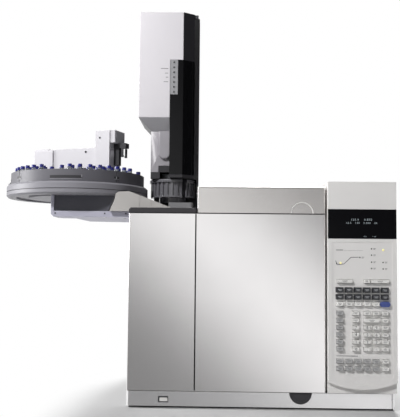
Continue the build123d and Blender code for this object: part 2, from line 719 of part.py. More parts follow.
def make_flap():
    half = VENT_SIZE / 2 - MOVE
    top = VENT_Z + half - 4
    y = CABINET_REAR - 12
    flap = block((VENT_X - half, VENT_X + half), (y - FLAP / 2, y + FLAP / 2), (VENT_Z - half, top))
    return flap + rod_x((VENT_X - half, VENT_X + half), y, top, 2.5)


def make_column_cage():
    """Wire basket that hangs from the oven's roof and holds the column's coil."""
    half = COIL_WIDTH / 2 + CAGE_WIRE + SEAT
    inner = COIL_RADIUS - COIL_THICK / 2 - CAGE_WIRE - SEAT
    cage = rod_y(FAN_X, (COIL_Y - half - CAGE_WIRE, COIL_Y + half + CAGE_WIRE), FAN_Z, inner + CAGE_WIRE)
    cage -= rod_y(FAN_X, (COIL_Y - half - OVER, COIL_Y + half + OVER), FAN_Z, inner - CAGE_WIRE)
    cage -= rod_y(FAN_X, (COIL_Y - half + CAGE_WIRE, COIL_Y + half - CAGE_WIRE), FAN_Z, inner + OVER)
    for step in range(6):
        dx, dz = polar(inner, 90 + 60 * step)
        x, z = FAN_X + dx, FAN_Z + dz
        cage += block((x - 1.2, x + 1.2), (COIL_Y - half, COIL_Y + half), (z - 1.2, z + 1.2))
    for y in (COIL_Y - half, COIL_Y + half):
        cage += block((FAN_X - 4, FAN_X + 4), (y - 1, y + 1), (FAN_Z + inner - 1, CAVITY_TOP - SEAT))
    cage += block((FAN_X - 4, FAN_X + 4), (COIL_Y - half - 1, COIL_Y + half + 1),
                  (CAVITY_TOP - SEAT - 2, CAVITY_TOP - SEAT))
    return cage


def straight_tube(start, end, radius):
    run = Edge.make_line(start, end)
    return sweep(Plane(origin=start, z_dir=run % 0) * Circle(radius), path=run)


def make_column():
    """The capillary column: a wound coil with one end up to the inlet, one to the detector."""
    outer = COIL_RADIUS + COIL_THICK / 2
    inner = COIL_RADIUS - COIL_THICK / 2
    coil = rod_y(FAN_X, (COIL_Y - COIL_WIDTH / 2, COIL_Y + COIL_WIDTH / 2), FAN_Z, outer)
    coil -= rod_y(FAN_X, (COIL_Y - COIL_WIDTH, COIL_Y + COIL_WIDTH), FAN_Z, inner)
    for port_x, port_y, degrees in ((INLET_X, INLET_Y, 150), (DETECTOR_X, DETECTOR_Y, 60)):
        dx, dz = polar(COIL_RADIUS, degrees)
        side = COIL_Y + math.copysign(COIL_WIDTH / 2 - 3, port_y - COIL_Y)
        coil += straight_tube((FAN_X + dx, side, FAN_Z + dz), (port_x, port_y, CAVITY_TOP + 2), COLUMN_TUBE)
    return coil


def make_inlet():
    """Front inlet: heated body through the oven roof, septum nut on top, column nut below."""
    body = rod_z(INLET_X, INLET_Y, (CAVITY_TOP + LINER + SEAT, INLET_TOP), INLET_RADIUS)
    body += Pos(INLET_X, INLET_Y, INLET_TOP + 3) * extrude(RegularPolygon(SEPTUM_NUT, 6), 4)
    body += rod_z(INLET_X, INLET_Y, (INLET_TOP, INLET_TOP + 3), SEPTUM_NUT - 2)
    body -= rod_z(INLET_X, INLET_Y, (INLET_TOP - 20, INLET_TOP + 8), 1.5)
    body -= rod_z(INLET_X, INLET_Y, (CAVITY_TOP - OVER, CAVITY_TOP + 12), COLUMN_TUBE + 1)
    return body


def make_detector():
    """Flame ionisation detector: base in the oven roof, castle block, collector and its cap."""
    x, y = DETECTOR_X, DETECTOR_Y
    body = rod_z(x, y, (CAVITY_TOP + LINER + SEAT, PLATE_DECK + 8), DETECTOR_RADIUS)
    body += block((x - 24, x + 24), (y - 20, y + 20), (PLATE_DECK + SEAT, PLATE_DECK + 26))
    body += rod_z(x, y, (PLATE_DECK + 26, PLATE_DECK + 42), 11)
    body += rod_z(x, y, (PLATE_DECK + 42, PLATE_DECK + 47), 13)
    body += rod_x((x + 24, x + 40), y, PLATE_DECK + 14, 5)
    body -= rod_z(x, y, (CAVITY_TOP - OVER, CAVITY_TOP + 12), COLUMN_TUBE + 1)
    return body


# ================================================================ door release and power switch
def make_release():
    """Half-round push button that lets the door go, with the stem that it slides on."""
    y = (RELEASE_FACE, RELEASE_FACE + RELEASE_THICK)
    button = rod_y(RELEASE_X, y, BASE_HEIGHT, RELEASE_RADIUS - MOVE)
    button -= block((RELEASE_X - 2 * RELEASE_RADIUS, RELEASE_X + 2 * RELEASE_RADIUS), (-OVER, 2 * RELEASE_DEPTH),
                    (BASE_HEIGHT - MOVE, 2 * RELEASE_RADIUS + BASE_HEIGHT))
    dish = rod_y(RELEASE_X, (-OVER, RELEASE_FACE + 1.5), BASE_HEIGHT, RELEASE_RADIUS - 5)
    stem = rod_y(RELEASE_X, (y[1] - 1, RELEASE_DEPTH + 14), BASE_HEIGHT - 10, RELEASE_STEM)
    return button - dish + stem


def make_power_switch():
    half_w = SWITCH_WIDTH / 2 - MOVE / 2
    half_h = SWITCH_HEIGHT / 2 - MOVE / 2
    cap = block((SWITCH_X - half_w, SWITCH_X + half_w),
                (1 - SWITCH_PROUD, SWITCH_DEPTH - SWITCH_TRAVEL - SEAT),
                (SWITCH_Z - half_h, SWITCH_Z + half_h))
    return fillet(cap.edges().filter_by(Axis.Y), 1.5)


# ================================================================ keypad module
def column_x(column):
    return KEY_FIRST_X + column * KEY_PITCH


def block_x(column):
    """Centres of the four columns of the main block of keys."""
    return BLOCK_FIRST_X if column == 0 else column_x(column + 2)


def key_cap(x, z, width, height):
    """One key: a shank in its pocket and a tapered cap that stands proud of the plate."""
    front = -KEYPAD_PROUD
    back = front + KEY_POCKET - KEY_TRAVEL - SEAT
    shank = block((x - width / 2, x + width / 2), (front, back), (z - height / 2, z + height / 2))
    base = Plane(origin=(x, front, z), x_dir=(1, 0, 0), z_dir=(0, -1, 0))
    low = base * Rectangle(width, height)
    high = base.offset(KEY_RISE) * Rectangle(width - 2 * KEY_TAPER, height - 2 * KEY_TAPER)
    return shank + loft([low, high])


def oval_key(x, z, width, height):
    front = -KEYPAD_PROUD
    back = front + KEY_POCKET - KEY_TRAVEL - SEAT
    base = Plane(origin=(x, back, z), x_dir=(1, 0, 0), z_dir=(0, -1, 0))
    return extrude(base * SlotOverall(width, height), back - front + KEY_RISE)


def span_key(span, z, height):
    return (span[0] + span[1]) / 2, z, span[1] - span[0], height


def key_places():
    """Node name to the keys in it, each as centre x, centre z, width, height."""
    places = {
        "start_key": [(START_KEY_X, START_ROW_Z, START_KEY_WIDTH, START_KEY_HEIGHT)],
        "stop_key": [(STOP_KEY_X, START_ROW_Z, STOP_KEY_WIDTH, START_KEY_HEIGHT)],
        "prep_key": [(PREP_KEY_X, START_ROW_Z, PREP_KEY_WIDTH, START_KEY_HEIGHT)],
    }
    places["dark_keys"] = []
    for row in range(2):
        z = DARK_ROW_Z - row * DARK_ROW_PITCH
        places["dark_keys"] += [(column_x(c), z, DARK_KEY_WIDTH, DARK_KEY_HEIGHT) for c in range(6)]
    places["light_keys"] = [(column_x(c), LIGHT_ROW_Z, KEY_WIDTH, KEY_HEIGHT) for c in range(5)]
    places["number_keys"] = []
    for row in range(BLOCK_ROWS):
        z = BLOCK_ROW_Z - row * BLOCK_PITCH
        places["number_keys"].append((column_x(0), z, KEY_WIDTH, KEY_HEIGHT))
        if row == 1:
            wide = span_key((block_x(1) - KEY_WIDTH / 2, block_x(2) + KEY_WIDTH / 2), z, KEY_HEIGHT)
            row_keys = [(block_x(0), z, KEY_WIDTH, KEY_HEIGHT), wide, (block_x(3), z, KEY_WIDTH, KEY_HEIGHT)]
        else:
            row_keys = [(block_x(c), z, KEY_WIDTH, KEY_HEIGHT) for c in range(4)]
        places["number_keys"] += row_keys
    for row in range(2):
        z = LOWER_ROW_Z - row * LOWER_ROW_PITCH
        places["number_keys"] += [(column_x(c), z, KEY_WIDTH, KEY_HEIGHT) for c in range(6)]
    return places


BLUE_KEY = (column_x(5), LIGHT_ROW_Z, BLUE_KEY_WIDTH, BLUE_KEY_HEIGHT)


def plate_outline(inset, top):
    """Front plate outline: square at the top, its lower edge one shallow arc."""
    left = KEYPAD_LEFT + inset
    right = CABINET_WIDTH - inset
    low = PLATE_SIDE_Z + inset
    middle = ((left + right) / 2, low - PLATE_SAG)
    edges = Curve() + [
        Line((left, top), (left, low)),
        ThreePointArc((left, low), middle, (right, low)),
        Line((right, low), (right, top)),
        Line((right, top), (left, top)),
    ]
    return make_face(edges)


def front_face(face, y):
    """Extrude a face drawn in x and z between two depths."""
    seen = Plane(origin=(0, y[1], 0), x_dir=(1, 0, 0), z_dir=(0, -1, 0))
    return extrude(seen * face, y[1] - y[0])


def make_keypad_housing():
    plain = -(KEYPAD_PROUD - KEYPAD_STEP)
    body = block((KEYPAD_LEFT, CABINET_WIDTH), (plain, KEYPAD_REAR), (KEYPAD_BOTTOM, CABINET_HEIGHT))
    body += front_face(plate_outline(0, CABINET_HEIGHT), (-KEYPAD_PROUD, plain))
    back = KEYPAD_FRONT - KEYPAD_PROUD
    body -= block((KEYPAD_LEFT + KEYPAD_WALL, CABINET_WIDTH - KEYPAD_WALL), (back, KEYPAD_REAR + OVER),
                  (KEYPAD_BOTTOM + KEYPAD_WALL, CABINET_HEIGHT - KEYPAD_WALL))
    body -= block((KEYPAD_LEFT - OVER, CABINET_WIDTH + OVER),
                  (-KEYPAD_PROUD - OVER, DISPLAY_DEPTH - KEYPAD_PROUD), (DISPLAY_BOTTOM, DISPLAY_TOP))
    body -= front_face(plate_outline(FIELD_INSET, FIELD_TOP),
                       (-KEYPAD_PROUD - OVER, FIELD_DEPTH - KEYPAD_PROUD))
    pocket_y = (-KEYPAD_PROUD - OVER, KEY_POCKET - KEYPAD_PROUD)
    pockets = []
    for keys in key_places().values():
        for x, z, width, height in keys:
            half_w = width / 2 + SEAT
            half_h = height / 2 + SEAT
            pockets.append(block((x - half_w, x + half_w), pocket_y, (z - half_h, z + half_h)))
    x, z, width, height = BLUE_KEY
    base = Plane(origin=(x, pocket_y[1], z), x_dir=(1, 0, 0), z_dir=(0, -1, 0))
    oval = extrude(base * SlotOverall(width + 2 * SEAT, height + 2 * SEAT), pocket_y[1] - pocket_y[0])
    return body - pockets - oval


def make_display():
    band = block((KEYPAD_LEFT + SEAT, CABINET_WIDTH - SEAT), (-DISPLAY_PROUD, DISPLAY_DEPTH - KEYPAD_PROUD),
                 (DISPLAY_BOTTOM + SEAT, DISPLAY_TOP - SEAT))
    return fillet(band.edges().filter_by(Axis.X).group_by(Axis.Y)[0], 0.5)


# ================================================================ inner and rear pieces
def make_main_board():
    x = PARTITION_X + SHEET
    y, z = (BOARD_INSET, CABINET_DEPTH - BOARD_INSET), BOARD_HEIGHTS
    board = block((x + BOARD_POST, x + BOARD_POST + 2), y, z)
    for post_y in (y[0] + 20, y[1] - 20):
        for post_z in (z[0] + 20, z[1] - 20):
            board += block((x, x + BOARD_POST + 1), (post_y - 3, post_y + 3), (post_z - 3, post_z + 3))
    face = x + BOARD_POST + 2
    for from_front, from_foot, depth, height, rise in BOARD_BLOCKS:
        part_y, part_z = y[0] + from_front, z[0] + from_foot
        board += block((face, face + rise), (part_y, part_y + depth), (part_z, part_z + height))
    return board


def make_power_supply():
    right = CABINET_WIDTH - BASE_RIGHT_INSET - BASE_WALL - SUPPLY_GAP
    rear = CABINET_DEPTH - SUPPLY_REAR
    box = block((PARTITION_X + SUPPLY_LEFT, right), (rear - SUPPLY_DEPTH, rear), (BASE_WALL, SUPPLY_TOP))
    first = rear - SUPPLY_DEPTH + 20
    return box - [block((right - 2, right + OVER), (first + 16 * n, first + 8 + 16 * n), (60, SUPPLY_TOP - 20))
                  for n in range(SUPPLY_SLOTS)]


def make_flow_manifold():
    """Gas flow block under the rear cover, with a valve body for each gas."""
    y = TOP_FRONT + 60
    manifold = block((COVER_LEFT + 30, COVER_RIGHT - 40), (y, y + 40), (PLATE_DECK, PLATE_DECK + 18))
    for stub in range(STUB_COUNT):
        x = stub_x(stub)
        manifold += block((x - 9, x + 9), (y + 11, y + 29), (PLATE_DECK + 18, PLATE_DECK + 42))
        manifold += block((x - 1.5, x + 1.5), (y + 40, CABINET_REAR - TOP_WALL - 6),
                          (PLATE_DECK + 10, PLATE_DECK + 13))
    return manifold


def stub_x(stub):
    return COVER_LEFT + 90 + stub * STUB_PITCH


def stub_z():
    return PLATE_DECK + 26


def make_gas_fittings():
    fittings = []
    for stub in range(STUB_COUNT):
        x = stub_x(stub)
        z = stub_z()
        nut = Plane(origin=(x, CABINET_REAR, z), x_dir=(1, 0, 0), z_dir=(0, 1, 0))
        body = extrude(nut * RegularPolygon(STUB_NUT, 6), 6)
        body += rod_y(x, (CABINET_REAR - 6, CABINET_REAR + REAR_STUB), z, STUB_RADIUS)
        body += block((x - 5, x + 5), (CABINET_REAR - TOP_WALL - 5, CABINET_REAR - TOP_WALL), (z - 5, z + 5))
        fittings.append(body)
    return fittings


def make_mains_inlet():
    half_w = MAINS_WIDTH / 2 - SEAT
    half_h = MAINS_HEIGHT / 2 - SEAT
    body = block((MAINS_X - half_w, MAINS_X + half_w), (CABINET_REAR - MAINS_DEPTH, CABINET_REAR),
                 (MAINS_Z - half_h, MAINS_Z + half_h))
    body += block((MAINS_X - half_w - 3, MAINS_X + half_w + 3), (CABINET_REAR, CABINET_REAR + 2),
                  (MAINS_Z - half_h - 3, MAINS_Z + half_h + 3))
    body -= block((MAINS_X - 12, MAINS_X + 12), (CABINET_REAR - 18, CABINET_REAR + OVER),
                  (MAINS_Z - 8, MAINS_Z + 8))
    for pin_x, pin_z in ((-7, -3), (7, -3), (0, 3)):
        body += block((MAINS_X + pin_x - 1, MAINS_X + pin_x + 1), (CABINET_REAR - 18, CABINET_REAR - 2),
                      (MAINS_Z + pin_z - 2, MAINS_Z + pin_z + 2))
    return body


# ================================================================ injector tower
def tower_plan(inset, z):
    """The tower's outline from above, all walls moved in by the inset."""
    outline = Polygon((TOWER_LEFT, TOWER_FRONT), (TOWER_FACE_RIGHT, TOWER_FRONT), TOWER_CORNER, TOWER_SIDE,
                      (TOWER_SIDE_REAR, TOWER_REAR), (TOWER_LEFT, TOWER_REAR), align=None)
    if inset:
        outline = offset(outline, -inset, kind=Kind.INTERSECTION)
    return extrude(Pos(0, 0, z[0]) * outline, z[1] - z[0])


def tower_envelope(inset, floor):
    """The tower's whole outer form: wide head, sloped shoulder and narrower neck."""
    left = TOWER_LEFT + inset
    top = TOWER_TOP - inset
    neck = NECK_LEFT + inset
    seen = front_view([(left, HEAD_BOTTOM), (neck, NECK_TOP), (neck, floor), (TOWER_SIDE[0] + OVER, floor),
                       (TOWER_SIDE[0] + OVER, top), (left, top)], (TOWER_FRONT - OVER, TOWER_REAR + OVER))
    face = TOWER_FRONT + inset
    throat = NECK_FRONT + inset
    side = side_view([(face, HEAD_BOTTOM), (throat, NECK_TOP), (throat, floor), (TOWER_REAR + OVER, floor),
                      (TOWER_REAR + OVER, top), (face, top)], (TOWER_LEFT - OVER, STEP_X + SEAT))
    side += side_view([(TOWER_FRONT - OVER, floor), (TOWER_REAR + OVER, floor), (TOWER_REAR + OVER, top),
                       (TOWER_FRONT - OVER, top)], (STEP_X, TOWER_SIDE[0] + OVER))
    return tower_plan(inset, (floor, top)) & seen & side


def face_zone():
    """The part of the tower's form that is the silver front moulding."""
    zone = block((TOWER_LEFT - OVER, TOWER_FACE_RIGHT), (TOWER_FRONT - OVER, TOWER_FRONT + FACE_THICK),
                 (HEAD_BOTTOM, TOWER_TOP + OVER))
    zone -= block((STEP_X, TOWER_FACE_RIGHT + OVER), (TOWER_FRONT - 2 * OVER, TOWER_FRONT + 2 * FACE_THICK),
                  (HEAD_BOTTOM - OVER, STEP_Z))
    shoulder = side_view([(TOWER_FRONT - OVER, HEAD_BOTTOM), (TOWER_FRONT + FACE_THICK, HEAD_BOTTOM),
                          (NECK_FRONT + FACE_THICK, NECK_TOP), (NECK_FRONT - OVER, NECK_TOP)],
                         (TOWER_LEFT - OVER, STEP_X))
    return zone + shoulder


def make_tower_face():
    return tower_envelope(0, NECK_BOTTOM) & face_zone()


def door_zone(z):
    """Where the smoked syringe door closes the tower's front right corner."""
    return block((STEP_X + SEAT, DOOR_AXIS[0]), (TOWER_FRONT - OVER, DOOR_AXIS[1] + 2), z)


def make_syringe_door():
    z = (BAY_BOTTOM + SEAT, STEP_Z - SEAT)
    shell = tower_plan(0, z) - tower_plan(SMOKED_WALL, (z[0] - OVER, z[1] + OVER))
    door = shell & door_zone(z)
    door -= block((STEP_X - OVER, STRIP_RIGHT + SEAT), (TOWER_FRONT - OVER, TOWER_FRONT + 2 * OVER),
                  (STRIP_BOTTOM - SEAT, STEP_Z))
    door += rod_z(DOOR_AXIS[0], DOOR_AXIS[1], z, DOOR_KNUCKLE)
    pins = (z[0] - DOOR_PIN_LENGTH, z[1] + DOOR_PIN_LENGTH)
    return door + rod_z(DOOR_AXIS[0], DOOR_AXIS[1], pins, DOOR_PIN)


def make_light_strip():
    strip = block((STEP_X + SEAT, STRIP_RIGHT), (TOWER_FRONT + 1, TOWER_FRONT + 1 + STRIP_THICK),
                  (STRIP_BOTTOM, STEP_Z - SEAT))
    pitch = (STEP_Z - STRIP_BOTTOM) / STRIP_LENSES
    for lens in range(STRIP_LENSES):
        seen = Plane(origin=((STEP_X + STRIP_RIGHT) / 2, TOWER_FRONT + 2, STRIP_BOTTOM + pitch * (lens + 0.5)),
                     x_dir=(1, 0, 0), z_dir=(0, -1, 0))
        strip += extrude(seen * RegularPolygon(2.2, 8), 1.7)
    return strip


def make_tower_body():
    outer = tower_envelope(0, DECK_TOP + SEAT)
    body = outer - tower_envelope(TOWER_WALL, BAY_BOTTOM)
    front = TOWER_FRONT + FACE_THICK + SEAT
    bay_x = (STEP_X + SEAT, TOWER_SIDE[0])
    shelf = [
        block((STEP_X - SEAT, STEP_X + 2), (front, BAY_REAR), (BAY_BOTTOM - LEDGE, TOWER_TOP - 1)),
        block((STEP_X - SEAT, TOWER_SIDE[0]), (BAY_REAR, BAY_REAR + TOWER_WALL),
              (BAY_BOTTOM - LEDGE, TOWER_TOP - 1)),
        block(bay_x, (TOWER_FRONT, BAY_REAR + 1), (STEP_Z, STEP_Z + LEDGE)),
        block((STEP_X, STRIP_RIGHT), (front, front + 3), (STRIP_BOTTOM, STEP_Z + 1)),
        block((NECK_LEFT, STEP_X), (NECK_FRONT, TOWER_REAR), (HUB_CEILING, HUB_CEILING + HUB_PLATE)),
        block((STEP_X - 1, TOWER_SIDE[0]), (BAY_REAR, TOWER_REAR), (HUB_CEILING, HUB_CEILING + HUB_PLATE)),
    ]
    for piece in shelf:
        body += outer & piece
    body -= block((TOWER_LEFT - OVER, TOWER_FACE_RIGHT + SEAT),
                  (TOWER_FRONT - OVER, TOWER_FRONT + FACE_THICK + SEAT), (STEP_Z - SEAT, TOWER_TOP + OVER))
    body -= block((TOWER_LEFT - OVER, STEP_X + SEAT),
                  (TOWER_FRONT - OVER, TOWER_FRONT + FACE_THICK + SEAT),
                  (HEAD_BOTTOM - 1, STEP_Z + OVER))
    body -= side_view([(TOWER_FRONT - OVER, HEAD_BOTTOM + SEAT),
                       (TOWER_FRONT + FACE_THICK + SEAT, HEAD_BOTTOM + SEAT),
                       (NECK_FRONT + FACE_THICK + SEAT, NECK_TOP - SEAT), (NECK_FRONT - OVER, NECK_TOP - SEAT)],
                      (TOWER_LEFT - OVER, STEP_X + SEAT))
    plate_y = (NECK_FRONT - OVER, NECK_FRONT + NECK_PLATE + SEAT)
    body -= block((NECK_LEFT - OVER, STEP_X + SEAT), plate_y, (NECK_FOOT_Z - SEAT, NECK_TOP + 1))
    body -= block((NECK_LEFT - OVER, NECK_PAD_LEFT + SEAT), plate_y, (NECK_FOOT_Z - NECK_STRIP, NECK_FOOT_Z))
    body -= block((STEP_X - SEAT, DOOR_AXIS[0] + 1), (TOWER_FRONT - OVER, DOOR_AXIS[1] + 2),
                  (BAY_BOTTOM, STEP_Z))
    body -= rod_z(DOOR_AXIS[0], DOOR_AXIS[1], (BAY_BOTTOM, STEP_Z), DOOR_SWEEP)
    body -= block((NECK_LEFT - OVER, TOWER_FACE_RIGHT + 40), (TOWER_FRONT - OVER, NECK_FRONT - 2),
                  (DECK_TOP - OVER, BAY_BOTTOM - LEDGE))
    pins = (BAY_BOTTOM - DOOR_PIN_LENGTH - 1, STEP_Z + DOOR_PIN_LENGTH + 1)
    body -= rod_z(DOOR_AXIS[0], DOOR_AXIS[1], pins, DOOR_PIN + RUN)
    clear = TURRET_FLANGE_RADIUS + 1.5
    body -= rod_z(TURRET_X, TURRET_Y, (DECK_TOP - OVER, TURRET_BOTTOM + TURRET_HEIGHT + TURRET_FLANGE + 2), clear)
    body -= block((NECK_LEFT - OVER, TURRET_X + clear), (NECK_FRONT - OVER, TURRET_Y + clear),
                  (DECK_TOP - OVER, TURRET_BOTTOM + TURRET_HEIGHT + TURRET_FLANGE + 1.5))
    body -= rod_z(INLET_X, INLET_Y, (DECK_TOP, BAY_BOTTOM + OVER), 7)
    body -= rod_z(TURRET_X, TURRET_Y, (DECK_TOP, HUB_CEILING), TURRET_HUB_RADIUS + 1)
    body -= block((NECK_HEEL, STEP_X - SEAT), (NECK_FRONT - OVER, TURRET_Y), (DECK_TOP, HUB_CEILING - 3))
    body -= rod_z(TURRET_X, TURRET_Y, (HUB_CEILING - 1, HUB_CEILING + HUB_PLATE + OVER), TURRET_AXLE + SEAT)
    return body


def make_tower_neck():
    """Pale lower moulding of the tower with the raised U shaped pad on it."""
    y = (NECK_FRONT, NECK_FRONT + NECK_PLATE)
    plate = front_view([(NECK_LEFT, NECK_TOP - SEAT), (NECK_LEFT, NECK_FOOT_Z - NECK_STRIP + SEAT),
                        (NECK_PAD_LEFT, NECK_FOOT_Z - NECK_STRIP + SEAT), (NECK_PAD_LEFT, NECK_FOOT_Z),
                        (STEP_X, NECK_FOOT_Z), (STEP_X, NECK_TOP - SEAT)], y)
    half = (NECK_PAD_RIGHT - NECK_PAD_LEFT) / 2
    centre = (NECK_PAD_LEFT + NECK_PAD_RIGHT) / 2
    seen = Plane(origin=(0, NECK_FRONT, 0), x_dir=(1, 0, 0), z_dir=(0, -1, 0))
    edges = Curve() + [
        Line((NECK_PAD_LEFT, NECK_TOP - 1), (NECK_PAD_LEFT, NECK_PAD_BOTTOM + half)),
        ThreePointArc((NECK_PAD_LEFT, NECK_PAD_BOTTOM + half), (centre, NECK_PAD_BOTTOM),
                      (STEP_X, NECK_PAD_BOTTOM + half)),
        Line((STEP_X, NECK_PAD_BOTTOM + half), (STEP_X, NECK_TOP - 1)),
        Line((STEP_X, NECK_TOP - 1), (NECK_PAD_LEFT, NECK_TOP - 1)),
    ]
    pad = extrude(seen * make_face(edges), NECK_PAD_RISE)
    return plate + pad


def rod_places():
    return [(INLET_X - ROD_SPREAD, INLET_Y - ROD_FORWARD), (INLET_X + ROD_SPREAD, INLET_Y - ROD_FORWARD)]


def make_guide_rods():
    return [rod_z(x, y, (BAY_BOTTOM + SEAT, STEP_Z - SEAT), ROD_RADIUS) for x, y in rod_places()]


def slider(low, height):
    """A carriage on both guide rods with a clearance hole for the syringe."""
    y = (INLET_Y - ROD_FORWARD - 6, INLET_Y - ROD_FORWARD - 6 + CARRIAGE_DEPTH)
    body = block((INLET_X - CARRIAGE_WIDTH / 2, INLET_X + CARRIAGE_WIDTH / 2), y, (low, low + height))
    for x, rod_y_place in rod_places():
        body -= rod_z(x, rod_y_place, (low - OVER, low + height + OVER), ROD_RADIUS + RUN)
    return body


def make_syringe_carriage():
    low = NEEDLE_TIP + NEEDLE_LENGTH + 14
    body = slider(low, CARRIAGE_HEIGHT)
    return body - rod_z(INLET_X, INLET_Y, (low - OVER, low + CARRIAGE_HEIGHT + OVER), BARREL_RADIUS + RUN)


def make_syringe_barrel():
    top = NEEDLE_TIP + NEEDLE_LENGTH + BARREL_LENGTH
    needle = rod_z(INLET_X, INLET_Y, (NEEDLE_TIP, NEEDLE_TIP + NEEDLE_LENGTH + 1), NEEDLE_RADIUS)
    barrel = rod_z(INLET_X, INLET_Y, (NEEDLE_TIP + NEEDLE_LENGTH, top), BARREL_RADIUS)
    flange = rod_z(INLET_X, INLET_Y, (top, top + 2), BARREL_RADIUS + 4)
    hub = rod_z(INLET_X, INLET_Y, (NEEDLE_TIP + NEEDLE_LENGTH - 8, NEEDLE_TIP + NEEDLE_LENGTH + 1), 2.2)
    barrel = needle + barrel + flange + hub
    return barrel - rod_z(INLET_X, INLET_Y, (NEEDLE_TIP + NEEDLE_LENGTH + 6, top + OVER), PLUNGER_RADIUS + RUN)


def make_plunger():
    """Plunger, its button and the block that draws it up along the guide rods."""
    foot = NEEDLE_TIP + NEEDLE_LENGTH + 8
    top = NEEDLE_TIP + NEEDLE_LENGTH + BARREL_LENGTH + 22
    rod = rod_z(INLET_X, INLET_Y, (foot, top + 1), PLUNGER_RADIUS)
    return rod + slider(top, PLUNGER_BLOCK)


# ================================================================ turret
def ribbed_outline():
    """The drum seen from above: evenly spaced ribs with shallow flutes between them."""
    points = []
    pitch = 360 / TURRET_RIBS
    for rib in range(TURRET_RIBS):
        for radius, share in ((TURRET_RADIUS - RIB_DEPTH, -0.26), (TURRET_RADIUS, -0.22),
                              (TURRET_RADIUS, 0.22), (TURRET_RADIUS - RIB_DEPTH, 0.26)):
            dx, dy = polar(radius, (rib + share) * pitch)
            points.append((TURRET_X + dx, TURRET_Y + dy))
    return points


def make_turret():
    x, y = TURRET_X, TURRET_Y
    top = TURRET_BOTTOM + TURRET_HEIGHT
    flange_top = top + TURRET_FLANGE
    drum = plan(ribbed_outline(), (TURRET_BOTTOM, top))
    drum += rod_z(x, y, (TURRET_BOTTOM, TURRET_BOTTOM + 3), TURRET_RADIUS)
    drum += rod_z(x, y, (top, flange_top), TURRET_FLANGE_RADIUS)
    drum += rod_z(x, y, (top, TURRET_HUB_TOP), TURRET_HUB_RADIUS)
    drum += rod_z(x, y, (TURRET_BOTTOM - 12, TURRET_BOTTOM + 1), TURRET_LOWER_HUB)
    angle = math.degrees(math.atan2(INLET_Y - y, INLET_X - x))
    reach = math.hypot(INLET_Y - y, INLET_X - x)
    gap = Pos(x, y, 0) * Rot(0, 0, angle)
    slot = block((reach, TURRET_RADIUS + 2 * OVER), (-TURRET_GAP_WIDTH / 2, TURRET_GAP_WIDTH / 2),
                 (TURRET_BOTTOM - 3 * OVER, flange_top + OVER))
    slot += rod_z(reach, 0, (TURRET_BOTTOM - 3 * OVER, flange_top + OVER), TURRET_GAP_WIDTH / 2)
    drum -= gap * slot
    for place in range(1, TURRET_PLACES):
        well = extrude(Pos(reach, 0, top - 22) * RegularPolygon(TURRET_WELL, WELL_SIDES), 22 + 2 * OVER)
        well += extrude(Pos(reach, 0, TURRET_BOTTOM - 3 * OVER) * RegularPolygon(TURRET_DRAIN, WELL_SIDES),
                        3 * OVER + TURRET_HEIGHT)
        drum -= gap * Rot(0, 0, 360 / TURRET_PLACES * place) * well
    return drum - rod_z(x, y, (TURRET_BOTTOM + 10, TURRET_HUB_TOP + OVER), TURRET_AXLE + RUN)


def make_turret_axle():
    """Fixed axle that hangs from the tower and carries the turret's hub."""
    shaft = rod_z(TURRET_X, TURRET_Y, (TURRET_BOTTOM + 12, HUB_CEILING + HUB_PLATE), TURRET_AXLE)
    return shaft + rod_z(TURRET_X, TURRET_Y, (HUB_CEILING - 3, HUB_CEILING - SEAT), 2 * TURRET_AXLE)


def make_pedestal():
    """Mount round the front inlet that the tower's post and turret stand over."""
    half_w = PEDESTAL_WIDTH / 2
    half_d = PEDESTAL_DEPTH / 2
    z = (DECK_TOP, DECK_TOP + PEDESTAL_HEIGHT)
    body = block((INLET_X - half_w, INLET_X + half_w), (INLET_Y - half_d, INLET_Y + half_d), z)
    body = fillet(body.edges().filter_by(Axis.Z), 6)
    return body - rod_z(INLET_X, INLET_Y, (z[0] - OVER, z[1] + OVER), INLET_RADIUS + SEAT)


# ================================================================ vial tray
def make_arm():
    """Cast wedge from the cabinet's deck to the tray, with feet on the deck and the plate."""
    low = PLATE_TOP
    web = front_view([(-34, TRAY_BOTTOM + 4), (-27, TRAY_BOTTOM + 8), (-4, TRAY_BOTTOM + 9),
                      (42, DECK_TOP + 22), (94, DECK_TOP + 1), (94, DECK_TOP), (0, DECK_TOP),
                      (-PLATE_CLEAR - 1, low), (-48, low), (-37, low + 25)],
                     (ARM_FRONT, ARM_FRONT + ARM_WEB))
    deck_foot = block((4, 88), (ARM_FRONT + ARM_WEB - 1, ARM_FRONT + 80), (DECK_TOP, DECK_TOP + ARM_FOOT))
    plate_foot = block((-46, -2), (ARM_FRONT + ARM_WEB - 1, PLATE_FRONT + 8), (low, low + ARM_FOOT))
    arm = web + deck_foot + plate_foot
    for x in (14, 40, 66):
        rise = (94 - x) * 0.36
        arm += side_view([(ARM_FRONT + ARM_WEB - 1, DECK_TOP + 2), (ARM_FRONT + 78, DECK_TOP + 2),
                          (ARM_FRONT + ARM_WEB - 1, DECK_TOP + rise)], (x, x + 6))
    return arm


def make_plate():
    """Steel carrier plate under the tray, against the cabinet's side."""
    z = (PLATE_TOP - PLATE_THICK, PLATE_TOP)
    outline = [(PLATE_LEFT, PLATE_FRONT), (-PLATE_CLEAR, PLATE_FRONT), (-PLATE_CLEAR, 288), (-128, 256),
               (-139, 122), (-168, 118), (PLATE_LEFT, 96)]
    plate = plan(outline, z)
    plate = chamfer(plate.edges().filter_by(Axis.Y).group_by(Axis.Z)[0].sort_by(Axis.X)[0], 6)
    wall = block((PLATE_LEFT, HOUSING_LEFT - SEAT), (PLATE_FRONT, 110), (PLATE_TOP - 1, TRAY_BOTTOM))
    return plate + wall


